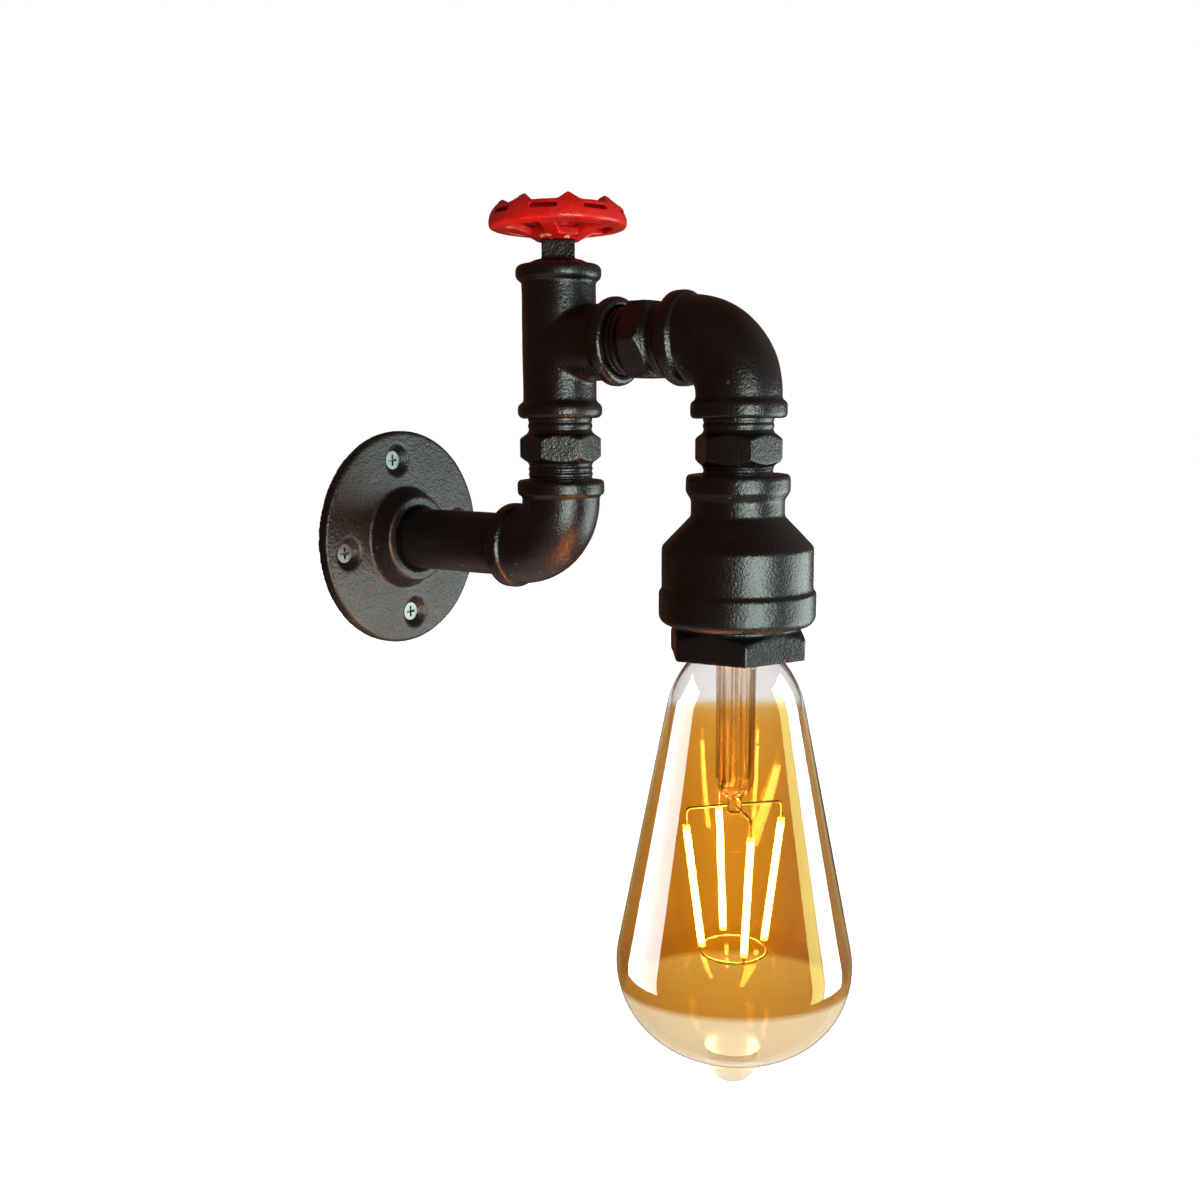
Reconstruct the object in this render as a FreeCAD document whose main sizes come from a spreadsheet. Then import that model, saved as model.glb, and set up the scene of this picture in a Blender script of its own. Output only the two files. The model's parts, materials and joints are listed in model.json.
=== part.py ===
import FreeCAD, Part
import math
import os
import Sketcher

# Pipe wall light: a wall flange, an arm of half-inch pipe fittings with a red hand wheel,
# and a reducing socket that holds a screw lampholder and a pear-shaped filament bulb.
# Frame: origin at the centre of the flange's back face, +Z up, the arm leaves the wall along -Y.

# Driving sizes in millimetres, angles in degrees
SIZES = {
    # Where the axes run
    "wall_reach": 74.8,  # wall to the upright axis of the tee
    "branch_reach": 65.7,  # upright axis of the tee to the lamp axis
    "branch_rise": 65.8,  # wall pipe axis to the branch axis above it
    # Half-inch pipe and thread
    "pipe_radius": 10.65,
    "thread_radius": 10.48,
    "thread_gap": 0.05,
    "thread_pitch": 1.814,
    "thread_groove": 0.4,
    "bore_radius": 8.0,
    "passage_radius": 9.0,
    "grip": 10.0,  # length of thread inside a fitting
    "socket_spare": 2.0,  # how much deeper a socket is than the thread in it
    "elbow_spare": 0.5,
    "mouth_bevel": 0.8,
    # Wall flange
    "flange_radius": 38.3,
    "flange_thickness": 4.0,
    "flange_round": 1.2,
    "hub_foot_radius": 17.6,
    "hub_lip_radius": 15.5,
    "hub_length": 10.8,
    "hub_round": 1.0,
    "hub_mouth": 1.6,
    "screw_circle": 28.1,
    "screw_turn": 7.0,
    "screw_hole": 2.6,
    "sink_radius": 5.8,
    # Wood screws in the flange
    "screw_head_radius": 3.3,
    "screw_neck_radius": 2.35,
    "screw_step": 0.3,
    "screw_shank_radius": 2.0,
    "screw_root_radius": 1.45,
    "screw_shank_end": 5.2,
    "screw_length": 12.0,
    "screw_point": 2.4,
    "screw_pitch": 1.3,
    "cross_width": 0.9,
    "cross_depth": 1.3,
    "cross_reach": 2.0,
    # Wall pipe and the bush in its end
    "pipe_set_back": 1.5,
    "bush_lip": 1.2,
    "bush_length": 8.0,
    "bush_lip_radius": 9.6,
    # Flexible lead inside the pipes
    "flex_radius": 2.8,
    "flex_gap": 0.1,
    "tee_flex_bend": 15.0,
    # Elbows
    "elbow_radius": 12.7,
    "elbow_bend": 16.5,
    "collar_radius": 14.2,
    "collar_length": 5.2,
    "collar_round": 1.3,
    "lower_side": 22.0,
    "lower_rise": 22.6,
    "upper_side": 21.5,
    "upper_drop": 23.8,
    # Hexagon nipples
    "nipple_flats": 22.9,
    "hex_length": 9.8,
    "hex_bevel": 2.0,
    "lower_hex_turn": 8.0,
    "drop_hex_turn": 46.0,
    "lower_neck": 5.4,
    "drop_neck": 4.1,
    "drop_foot": 2.3,
    "branch_neck": 4.2,
    # Tee
    "tee_radius": 11.9,
    "tee_up": 24.8,
    "tee_down": 23.5,
    "tee_branch": 25.0,
    "tee_collar_radius": 13.7,
    "tee_round": 2.0,
    "plug_grip": 8.0,
    # Square-headed plug
    "plug_shoulder": 1.3,
    "square_half": 5.24,
    "square_height": 6.0,
    "square_turn": 37.0,
    "square_bevel": 0.5,
    # Hand wheel and its screw
    "wheel_lift": 0.1,
    "wheel_hub_radius": 7.1,
    "wheel_hub_height": 7.8,
    "rim_radius": 21.9,
    "rim_inner": 13.4,
    "rim_low": 3.6,
    "rim_high": 12.7,
    "rim_crest": 17.2,
    "rim_edge": 1.2,
    "rim_bend": 7.0,
    "crest_round": 1.8,
    "web_thickness": 2.6,
    "web_drop": 0.65,
    "lobe_count": 8,
    "lobe_depth": 3.0,
    "lobe_flare": 2.0,
    "lobe_set": 1.3,  # how far outside the rim's crest the lobes have their points
    "slot_height": 1.4,
    "slot_span": 8.4,
    "slot_lift": 7.1,
    "slot_floor": 17.0,
    "spoke_count": 5,
    "spoke_width": 5.0,
    "window_inner": 8.6,
    "window_outer": 17.0,
    "window_top": 6.4,
    "wheel_turn": 25.1,
    "bolt_radius": 2.45,
    "bolt_gap": 0.05,
    "bolt_head_radius": 4.3,
    "bolt_head_height": 2.6,
    "bolt_head_edge": 1.4,
    "bolt_dome": 10.3,
    "bolt_grip": 9.0,
    "drive_width": 1.1,
    "drive_depth": 1.2,
    "washer_radius": 5.2,
    "washer_thickness": 0.8,
    # Reducing socket, depths measured down from its top face
    "small_band_radius": 15.4,
    "small_band_end": 6.4,
    "reducer_neck_radius": 13.85,
    "reducer_neck_end": 12.4,
    "bell_radius": 22.6,
    "bell_start": 21.4,
    "bell_round": 1.8,
    "large_band_radius": 23.5,
    "large_band_start": 34.2,
    "reducer_length": 44.6,
    "band_round": 3.0,
    "web_depth": 12.0,
    "web_height": 2.6,
    "throat_radius": 10.8,
    "bell_wall": 4.2,
    # Hexagon bushing
    "bushing_thread": 18.7,
    "bushing_bore": 16.6,
    "bushing_grip": 14.0,
    "bushing_neck": 1.2,
    "bushing_height": 8.4,
    "bushing_flats": 38.0,
    "bushing_bevel": 2.2,
    "bushing_turn": 36.0,
    # Lampholder fixing
    "conduit_radius": 4.95,
    "conduit_bore": 3.1,
    "clamp_washer_radius": 9.9,
    "clamp_washer_thickness": 0.8,
    "locknut_flats": 14.0,
    "locknut_height": 2.5,
    "conduit_top": 1.0,
    "nut_gap": 0.3,
    "bridge_thickness": 1.2,
    "bridge_width": 12.0,
    "bridge_half": 9.0,
    "bridge_foot": 13.8,
    "bridge_rise": 4.5,
    "foot_screw_place": 12.0,
    "foot_grip": 1.6,
    "small_screw_radius": 1.1,
    "small_head_radius": 1.7,
    "small_head_height": 1.1,
    # Lampholder
    "holder_radius": 16.2,
    "holder_floor": 3.0,
    "contact_drop": 1.5,
    "liner_radius": 13.3,
    "liner_wall": 0.4,
    "liner_tab": 1.6,
    "liner_gap": 0.1,
    "holder_cup": 24.0,
    "contact_pad": 4.0,
    "rivet_radius": 1.4,
    "terminal_width": 5.0,
    "terminal_place": 7.6,
    "terminal_depth": 4.4,
    "terminal_height": 4.0,
    "core_radius": 0.9,
    "core_bend": 1.6,
    "core_drop": 0.4,
    "core_spread": 1.4,
    "core_start": 0.8,
    # Bulb cap
    "cap_radius": 13.15,
    "cap_wall": 0.3,
    "cap_length": 22.0,
    "cap_groove": 0.7,
    "cap_pitch": 3.63,
    "skirt_height": 3.6,
    "skirt_flare": 0.7,
    "insulator_height": 3.2,
    "tip_radius": 4.0,
    "tip_height": 0.8,
    "tip_dome": 24.0,
    "touch_gap": 0.05,
    # Bulb glass
    "glass_wall": 0.8,
    "neck_radius": 12.5,
    "shoulder_bend": 30.0,
    "shoulder_depth": 18.15,
    "shoulder_radius": 20.85,
    "cone_angle": 11.24,
    "bulb_radius": 36.6,
    "belly_bend": 27.2,
    "dome_depth": 29.2,
    "nub_radius": 7.4,
    "nub_length": 11.0,
    "nub_tip": 4.8,
    # Inside the bulb
    "stem_radius": 5.7,
    "stem_wall": 0.8,
    "stem_length": 47.0,
    "stem_set": 0.2,
    "stem_flare": 11.4,
    "stem_curve": 8.0,
    "stem_shoulder": 6.8,
    "bead_radius": 2.3,
    "bead_length": 5.2,
    "bead_round": 0.8,
    "filament_radius": 1.1,
    "filament_top": 15.4,
    "filament_foot": 10.2,
    "filament_start": 55.0,
    "filament_drop": 39.5,
    "filament_turn": 47.4,
    "wire_radius": 0.4,
    "frame_drop": 2.2,
    "frame_wire": 0.5,
    "hook_bend": 1.6,
    "lead_spread": 1.0,
    "board_thickness": 1.2,
    "board_place": 10.0,
    "board_gap": 0.3,
    "capacitor_radius": 3.4,
    "capacitor_height": 6.5,
}

doc = FreeCAD.newDocument("pipe_wall_light")
sheet = doc.addObject("Spreadsheet::Sheet", "Sizes")
for row, (alias, number) in enumerate(SIZES.items(), 1):
    sheet.set(f"A{row}", alias)
    sheet.set(f"B{row}", str(number))
    sheet.setAlias(f"B{row}", alias)
doc.recompute()


class Size:
    """A number together with the formula that it comes from."""

    def __init__(self, value, formula):
        self.value = float(value)
        self.formula = formula

    def __add__(self, other):
        other = as_size(other)
        return Size(self.value + other.value, f"({self.formula} + {other.formula})")

    def __sub__(self, other):
        other = as_size(other)
        return Size(self.value - other.value, f"({self.formula} - {other.formula})")

    def __mul__(self, other):
        other = as_size(other)
        return Size(self.value * other.value, f"({self.formula} * {other.formula})")

    def __truediv__(self, other):
        other = as_size(other)
        return Size(self.value / other.value, f"({self.formula} / {other.formula})")

    def __radd__(self, other):
        return as_size(other) + self

    def __rsub__(self, other):
        return as_size(other) - self

    def __rmul__(self, other):
        return as_size(other) * self

    def __neg__(self):
        return as_size(0) - self


def as_size(item):
    return item if isinstance(item, Size) else Size(item, repr(float(item)))


def sine(angle):
    angle = as_size(angle)
    return Size(math.sin(math.radians(angle.value)), f"sin({angle.formula})")


def cosine(angle):
    angle = as_size(angle)
    return Size(math.cos(math.radians(angle.value)), f"cos({angle.formula})")


def root(area):
    return Size(math.sqrt(area.value), f"sqrt({area.formula})")


def in_order(one, other):
    return (one, other) if one.value < other.value else (other, one)


class Names:
    """The driving sizes, each under its own name."""

    def __init__(self, aliases):
        for alias in aliases:
            setattr(self, alias, Size(sheet.get(alias), f"Sizes.{alias}"))


s = Names(SIZES)

HALF_TURN = 180
FULL_TURN = 360
HEX_SIDES = 6
SCREW_COUNT = 4
FILAMENT_COUNT = 4
MARGIN = 1  # how far a cut runs past the faces it opens
TINY = 1e-9
NEAR_HALF = 1.05  # keeps an arc a little flatter than a half circle
SLOPE = 45  # lean of the bell's shoulder and of the finger lobes' sides
TURN_RUN = math.tan(math.radians(SLOPE / 2))  # run of an arc along each side of that corner
# Where along each turn a thread's groove begins, is deepest and ends
PIPE_GROOVE = (0.15, 0.45, 0.75)
SCREW_GROOVE = (0.3, 0.6, 0.9)
CAP_WAVE = (0.1, 0.4, 0.6, 0.9)
FACING = {
    "up": FreeCAD.Rotation(FreeCAD.Vector(0, 0, 1), 0),
    "out": FreeCAD.Rotation(FreeCAD.Vector(1, 0, 0), 90),
    "round": FreeCAD.Rotation(FreeCAD.Vector(0, 0, 1), HALF_TURN),
    "aside": FreeCAD.Rotation(FreeCAD.Vector(0, 0, 1), -HALF_TURN / 2),
    "down": FreeCAD.Rotation(FreeCAD.Vector(0, 1, 0), HALF_TURN),
}

# Places that several pieces share
lamp_reach = s.wall_reach + s.branch_reach
socket_radius = s.thread_radius + s.thread_gap
mouth_radius = socket_radius + s.mouth_bevel
socket_depth = s.grip + s.socket_spare
elbow_socket = s.grip + s.elbow_spare
tee_foot = s.branch_rise - s.tee_down
tee_top = s.branch_rise + s.tee_up
tee_face = s.wall_reach + s.tee_branch
elbow_face = lamp_reach - s.upper_side
drop_face = s.branch_rise - s.upper_drop
wheel_foot = tee_top + s.plug_shoulder + s.square_height + s.wheel_lift
wheel_top = wheel_foot + s.wheel_hub_height
reducer_top = drop_face - s.drop_neck - s.hex_length - s.drop_foot
bushing_top = s.reducer_length + s.bushing_neck
bushing_end = bushing_top + s.bushing_height
bridge_top = s.web_depth + s.web_height + s.clamp_washer_thickness
holder_top = bridge_top + s.bridge_thickness + s.bridge_rise
contact_place = holder_top + s.holder_floor + s.contact_drop
cap_top = contact_place + s.touch_gap + s.tip_height + s.insulator_height
cap_end = cap_top + s.cap_length
glass_top = cap_end - s.skirt_height + s.cap_groove * 2
flex_end = bridge_top + s.bridge_thickness + s.core_start
filament_top = cap_end + s.filament_start
filament_end = filament_top + s.filament_drop
FILAMENT_SPIN = HALF_TURN / 2 - s.filament_turn
core_level = flex_end + s.core_drop + s.core_bend

parts = []


def bind(item, name, size):
    item.setExpression(name, as_size(size).formula)


def make_body(name, out=0, up=0, facing="up", turn=None, across=None):
    """Start a piece whose own origin stands out from the wall and up, facing as named."""
    item = doc.addObject("PartDesign::Body", name)
    item.Label = name
    item.Placement = FreeCAD.Placement(FreeCAD.Vector(0, 0, 0), FACING[facing])
    bind(item, "Placement.Base.y", -as_size(out))
    bind(item, "Placement.Base.z", as_size(up))
    if across is not None:
        bind(item, "Placement.Base.x", across)
    if turn is not None:
        bind(item, "Placement.Rotation.Angle", turn)
    parts.append(item)
    return item


def add_sketch(body, role, lift=None, spin=None):
    """A drawing on one of the piece's own planes, lifted off it or spun about the piece's axis."""
    item = body.newObject("Sketcher::SketchObject", body.Name + "_drawing")
    plane = [axis for axis in body.Origin.OriginFeatures if axis.Role == role][0]
    item.AttachmentSupport = [(plane, "")]
    item.MapMode = "FlatFace"
    if lift is not None:
        bind(item, "AttachmentOffset.Base.z", lift)
    if spin is not None:
        axis = FreeCAD.Vector(0, 0, 1) if role == "XY_Plane" else FreeCAD.Vector(0, 1, 0)
        item.AttachmentOffset = FreeCAD.Placement(
            FreeCAD.Vector(0, 0, 0), FreeCAD.Rotation(axis, 1)
        )
        bind(item, "AttachmentOffset.Rotation.Angle", spin)
    return item


def pin_point(drawing, line, end, across, height):
    """Hold one end of a line or arc at its place, measured from the drawing's origin."""
    for kind, axis, size in (("DistanceX", -2, across), ("DistanceY", -1, height)):
        if isinstance(size, Size) and abs(size.value) > TINY:
            rule = Sketcher.Constraint(kind, -1, 1, line, end, size.value)
            number = drawing.addConstraint(rule)
            drawing.setExpression(f"Constraints[{number}]", size.formula)
        else:
            drawing.addConstraint(Sketcher.Constraint("PointOnObject", line, end, axis))


def arc_between(start, end, bend):
    """The short arc from start to end: it turns left where bend is positive."""
    chord = end - start
    middle = (start + end) * 0.5
    side = FreeCAD.Vector(-chord.y, chord.x, 0).normalize()
    reach = math.sqrt(max(bend**2 - (chord.Length / 2) ** 2, 0))
    centre = middle + side * math.copysign(reach, bend)
    outward = (middle - centre).normalize() if reach > TINY else side * -math.copysign(1, bend)
    return Part.Arc(start, centre + outward * abs(bend), end)


def draw(drawing, corners, closed=True):
    """Join corners (across, height) or (across, height, bend of the arc that leads there)."""
    spots = [
        FreeCAD.Vector(as_size(corner[0]).value, as_size(corner[1]).value, 0) for corner in corners
    ]
    count = len(corners) if closed else len(corners) - 1
    edges = []
    for index in range(count):
        start, end = spots[index], spots[(index + 1) % len(corners)]
        goal = corners[(index + 1) % len(corners)]
        bend = goal[2] if len(goal) > 2 else None
        shape = Part.LineSegment(start, end) if bend is None else arc_between(start, end, bend.value)
        edge = drawing.addGeometry(shape)
        ends = (1, 2) if bend is None or bend.value > 0 else (2, 1)
        pin_point(drawing, edge, ends[0], *corners[index][:2])
        if bend is not None:
            set_radius(drawing, edge, bend if bend.value > 0 else -bend)
        edges.append((edge, *ends))
    for (edge, _, end), (follower, begin, _) in zip(edges, edges[1:] + edges[:1]):
        if closed or follower != edges[0][0]:
            drawing.addConstraint(Sketcher.Constraint("Coincident", edge, end, follower, begin))
        else:
            pin_point(drawing, edge, end, *corners[-1][:2])


def set_radius(drawing, edge, radius):
    number = drawing.addConstraint(Sketcher.Constraint("Radius", edge, radius.value))
    drawing.setExpression(f"Constraints[{number}]", radius.formula)


def add_circle(drawing, across, deep, radius):
    spot = FreeCAD.Vector(as_size(across).value, as_size(deep).value, 0)
    ring = drawing.addGeometry(Part.Circle(spot, FreeCAD.Vector(0, 0, 1), radius.value))
    pin_point(drawing, ring, 3, across, deep)
    set_radius(drawing, ring, radius)


def turn_solid(body, corners, cut=False, centre=None, sideways=False, spin=None, plane="XZ_Plane"):
    """Turn an outline about the piece's axis, or about one beside it, to add or to cut."""
    drawing = add_sketch(body, plane, spin=spin)
    if sideways:
        corners = [(corner[1], corner[0], *[-bend for bend in corner[2:]]) for corner in corners]
    if centre is not None:
        corners = [(centre + corner[0], *corner[1:]) for corner in corners]
    draw(drawing, corners)
    axis = "H_Axis" if sideways else "V_Axis"
    if centre is not None:
        low = FreeCAD.Vector(centre.value, 0, 0)
        line = drawing.addGeometry(Part.LineSegment(low, low + FreeCAD.Vector(0, 1, 0)), True)
        pin_point(drawing, line, 1, centre, 0)
        pin_point(drawing, line, 2, centre, as_size(1))
        axis = "Axis0"
    kind = "PartDesign::Groove" if cut else "PartDesign::Revolution"
    feature = body.newObject(kind, body.Name + ("_groove" if cut else "_turned"))
    feature.Profile = drawing
    feature.ReferenceAxis = (drawing, [axis])
    feature.Angle = FULL_TURN
    return feature


def push_solid(body, outlines, low, length, cut=False, circles=(), spin=None):
    """Push flat outlines and circles up from a height, to add or to cut."""
    drawing = add_sketch(body, "XY_Plane", lift=low, spin=spin)
    for corners in outlines:
        draw(drawing, corners)
    for across, deep, radius in circles:
        add_circle(drawing, across, deep, radius)
    kind = "PartDesign::Pocket" if cut else "PartDesign::Pad"
    feature = body.newObject(kind, body.Name + ("_pocket" if cut else "_pad"))
    feature.Profile = drawing
    bind(feature, "Length", length)
    if cut:
        feature.Reversed = True
    return feature


def repeat(body, feature, count):
    """Copy a feature round the piece's own upright axis."""
    pattern = body.newObject("PartDesign::PolarPattern", body.Name + "_ring")
    pattern.Originals = [feature]
    axis = [line for line in body.Origin.OriginFeatures if line.Role == "Z_Axis"][0]
    pattern.Axis = (axis, [""])
    pattern.Angle = FULL_TURN
    bind(pattern, "Occurrences", count)
    body.Tip = pattern
    return pattern


def bend_solid(body, radius, start, level, bend, reach, cut=False, begin=0, spin=None):
    """A round rod that rises or falls beside the upright axis, bends and runs level to its reach."""
    fall = 1 if as_size(level).value > as_size(start).value else -1
    outward = 1 if as_size(reach).value > as_size(begin).value else -1
    path = add_sketch(body, "YZ_Plane", spin=spin)
    corners = [
        (begin, start),
        (begin, level - fall * bend),
        (begin + outward * bend, level, -fall * outward * bend),
        (reach, level),
    ]
    draw(path, corners, closed=False)
    ring = add_sketch(body, "XY_Plane", lift=start, spin=spin)
    add_circle(ring, 0, begin, radius)
    kind = "PartDesign::SubtractivePipe" if cut else "PartDesign::AdditivePipe"
    feature = body.newObject(kind, body.Name + ("_bore" if cut else "_rod"))
    feature.Profile = ring
    feature.Spine = (path, ["Edge1", "Edge2", "Edge3"])
    return feature


def polygon(radius, sides=HEX_SIDES):
    """Corners of a regular outline on a circle through them."""
    angles = [FULL_TURN / sides * index for index in range(sides)]
    return [
        (radius * round(math.cos(math.radians(a)), 12), radius * round(math.sin(math.radians(a)), 12))
        for a in angles
    ]


def rectangle(left, right, front, back):
    return [(left, front), (right, front), (right, back), (left, back)]


def collar_corners(face, radius, length, inner, rounding, way=1):
    """A rounded band round the mouth of a fitting: face is its open end, way the side it faces."""
    foot = face - way * length
    arc = -way * rounding
    return [
        (inner, face),
        (radius - rounding, face),
        (radius, face - way * rounding, arc),
        (radius, foot + way * rounding),
        (radius - rounding, foot, arc),
        (inner, foot),
    ]


def socket_corners(face, way=1, depth=socket_depth):
    """The threaded mouth of a fitting, as the outline of what is cut away."""
    beyond = face + way * s.mouth_bevel
    return [
        (0, beyond),
        (mouth_radius + s.mouth_bevel, beyond),
        (socket_radius, face - way * s.mouth_bevel),
        (socket_radius, face - way * depth),
        (0, face - way * depth),
    ]


def thread_corners(radius, start, end):
    """Shallow rings along an open stretch of thread, from start up to end."""
    rings = round((end.value - start.value) / s.thread_pitch.value)
    step = (end - start) / max(rings, 1)
    corners = []
    for index in range(rings):
        low = start + step * index
        depths = (0, s.thread_groove, 0)
        corners += [(radius - cut, low + step * part) for cut, part in zip(depths, PIPE_GROOVE)]
    return corners


def hex_nipple(name, low_grip, low_neck, high_neck, high_grip, out, up, facing="up", turn=None):
    """A nipple with a hexagon between two threads; its own origin is the lower fitting's face."""
    body = make_body(name, out=out, up=up, facing=facing, turn=turn)
    corner_radius = s.nipple_flats / (2 * math.cos(math.pi / HEX_SIDES))
    hex_low = low_neck
    hex_high = low_neck + s.hex_length
    end = hex_high + high_neck
    corners = [(s.bore_radius, -low_grip), (s.thread_radius, -low_grip)]
    corners += thread_corners(s.thread_radius, as_size(0), hex_low)
    corners += [
        (s.thread_radius, hex_low),
        (corner_radius, hex_low + s.hex_bevel),
        (corner_radius, hex_high - s.hex_bevel),
        (s.thread_radius, hex_high),
    ]
    corners += thread_corners(s.thread_radius, hex_high, end)
    corners += [(s.thread_radius, end + high_grip), (s.bore_radius, end + high_grip)]
    turn_solid(body, corners)
    push_solid(
        body,
        [polygon(corner_radius)],
        hex_low,
        s.hex_length,
        cut=True,
        circles=[(0, 0, corner_radius + MARGIN)],
    )
    return body


# Wall flange with four sunk screw holes
def wall_flange():
    body = make_body("wall_flange", facing="out")
    lip = s.hub_lip_radius
    turn_solid(
        body,
        [
            (socket_radius, 0),
            (s.flange_radius, 0),
            (s.flange_radius, s.flange_thickness - s.flange_round),
            (s.flange_radius - s.flange_round, s.flange_thickness, s.flange_round),
            (s.hub_foot_radius + s.hub_round, s.flange_thickness),
            (s.hub_foot_radius, s.flange_thickness + s.hub_round, -s.hub_round),
            (lip, s.hub_length - s.hub_round),
            (lip - s.hub_round, s.hub_length, s.hub_round),
            (socket_radius + s.hub_mouth, s.hub_length),
            (socket_radius, s.hub_length - s.hub_mouth),
        ],
    )
    sink_depth = s.sink_radius - s.screw_hole
    hole = turn_solid(
        body,
        [
            (0, -MARGIN),
            (s.screw_hole, as_size(-MARGIN)),
            (s.screw_hole, s.flange_thickness - sink_depth),
            (s.sink_radius, s.flange_thickness),
            (s.sink_radius, s.flange_thickness + MARGIN),
            (0, s.flange_thickness + MARGIN),
        ],
        cut=True,
        centre=s.screw_circle,
        spin=s.screw_turn,
    )
    repeat(body, hole, SCREW_COUNT)


# Four countersunk wood screws, which stand out behind the flange
def flange_screws():
    body = make_body("flange_screws", facing="out")
    head_top = s.flange_thickness - (s.sink_radius - s.screw_head_radius)
    head_radius = s.screw_head_radius - s.thread_gap
    head_end = head_top - (head_radius - s.screw_neck_radius)
    tip = head_top - s.screw_length
    thread_start = -s.screw_shank_end
    thread_end = tip + s.screw_point
    rings = int((thread_start.value - thread_end.value) / s.screw_pitch.value)
    step = (thread_start - thread_end) / rings
    corners = [
        (0, head_top),
        (head_radius, head_top),
        (s.screw_neck_radius, head_end),
        (s.screw_neck_radius, -s.screw_step),
        (s.screw_shank_radius, -s.screw_step),
        (s.screw_shank_radius, thread_start),
    ]
    for index in range(rings):
        top = thread_start - step * index
        radii = (s.screw_root_radius, s.screw_root_radius, s.screw_shank_radius)
        corners += [(radius, top - step * part) for radius, part in zip(radii, SCREW_GROOVE)]
    corners += [(s.screw_root_radius, thread_end - step * (SCREW_GROOVE[1] - SCREW_GROOVE[0])), (0, tip)]
    corners.reverse()
    screw = turn_solid(body, corners, centre=s.screw_circle, spin=s.screw_turn)
    repeat(body, screw, SCREW_COUNT)
    cut_crosses(body, head_top)


def cut_crosses(body, head_top):
    """A cross recess in each screw head, cut from the front."""
    half = s.cross_width / 2
    arm = s.cross_reach
    across = s.screw_circle * cosine(s.screw_turn)
    deep = s.screw_circle * sine(s.screw_turn)
    plus = [
        (-arm, -half), (-half, -half), (-half, -arm), (half, -arm), (half, -half), (arm, -half),
        (arm, half), (half, half), (half, arm), (-half, arm), (-half, half), (-arm, half),
    ]
    outline = [(across + x, deep + y) for x, y in plus]
    recess = push_solid(body, [outline], head_top - s.cross_depth, s.cross_depth + MARGIN, cut=True)
    repeat(body, recess, SCREW_COUNT)


# Straight pipe between the flange and the lower elbow
def wall_pipe():
    body = make_body("wall_pipe", facing="out")
    face = s.wall_reach - s.lower_side
    end = face + s.grip
    shoulder = s.pipe_radius - s.thread_radius
    body_start = s.hub_length + s.mouth_bevel
    body_end = face - s.mouth_bevel
    turn_solid(
        body,
        [
            (s.bore_radius, s.pipe_set_back),
            (s.thread_radius, s.pipe_set_back),
            (s.thread_radius, body_start - shoulder),
            (s.pipe_radius, body_start),
            (s.pipe_radius, body_end),
            (s.thread_radius, body_end + shoulder),
            (s.thread_radius, end),
            (s.bore_radius, end),
        ],
    )


# Rubber bush that lines the wall end of the pipe
def entry_bush():
    body = make_body("entry_bush", facing="out")
    inner = s.flex_radius + s.flex_gap
    lip_low = s.pipe_set_back - s.bush_lip
    turn_solid(
        body,
        [
            (inner, lip_low),
            (s.bush_lip_radius, lip_low),
            (s.bush_lip_radius, s.pipe_set_back),
            (s.bore_radius - s.thread_gap, s.pipe_set_back),
            (s.bore_radius - s.thread_gap, s.pipe_set_back + s.bush_length),
            (inner, s.pipe_set_back + s.bush_length),
        ],
    )


# Elbow: its origin is where the two axes meet, one mouth faces +Y and one faces +Z
def elbow(name, side, rise, out, up, facing):
    body = make_body(name, out=out, up=up, facing=facing)
    bend_solid(body, s.elbow_radius, rise, as_size(0), s.elbow_bend, side)
    inner = s.passage_radius + s.thread_gap
    upright = collar_corners(rise, s.collar_radius, s.collar_length, inner, s.collar_round)
    level = collar_corners(side, s.collar_radius, s.collar_length, inner, s.collar_round)
    turn_solid(body, upright, plane="YZ_Plane")
    turn_solid(body, level, plane="YZ_Plane", sideways=True)
    bend_solid(body, s.passage_radius, rise, as_size(0), s.elbow_bend, side, cut=True)
    turn_solid(body, socket_corners(rise, depth=elbow_socket), cut=True, plane="YZ_Plane")
    turn_solid(
        body,
        socket_corners(side, depth=elbow_socket),
        cut=True,
        plane="YZ_Plane",
        sideways=True,
    )


# Tee: its origin is where the axes meet; turned round so that its branch leaves the wall
def tee():
    body = make_body("tee", out=s.wall_reach, up=s.branch_rise, facing="round")
    zero = as_size(0)
    turn_solid(
        body,
        [(0, -s.tee_down), (s.tee_radius, -s.tee_down), (s.tee_radius, s.tee_up), (0, s.tee_up)],
        plane="YZ_Plane",
    )
    inner = s.passage_radius + s.thread_gap
    for face, way in ((s.tee_up, 1), (-s.tee_down, -1)):
        ring = collar_corners(face, s.tee_collar_radius, s.collar_length, inner, s.tee_round, way)
        turn_solid(body, ring, plane="YZ_Plane")
    turn_solid(
        body,
        [(0, zero), (s.tee_radius, zero), (s.tee_radius, s.tee_branch), (0, s.tee_branch)],
        plane="YZ_Plane",
        sideways=True,
    )
    ring = collar_corners(s.tee_branch, s.tee_collar_radius, s.collar_length, inner, s.tee_round)
    turn_solid(body, ring, plane="YZ_Plane", sideways=True)
    passage = [
        (0, -s.tee_down),
        (s.passage_radius, -s.tee_down),
        (s.passage_radius, s.tee_up),
        (0, s.tee_up),
    ]
    turn_solid(body, passage, cut=True, plane="YZ_Plane")
    turn_solid(body, socket_corners(s.tee_up), cut=True, plane="YZ_Plane")
    turn_solid(body, socket_corners(-s.tee_down, way=-1), cut=True, plane="YZ_Plane")
    side_passage = [
        (0, zero),
        (s.passage_radius, zero),
        (s.passage_radius, s.tee_branch),
        (0, s.tee_branch),
    ]
    turn_solid(body, side_passage, cut=True, plane="YZ_Plane", sideways=True)
    turn_solid(body, socket_corners(s.tee_branch), cut=True, plane="YZ_Plane", sideways=True)


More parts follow.
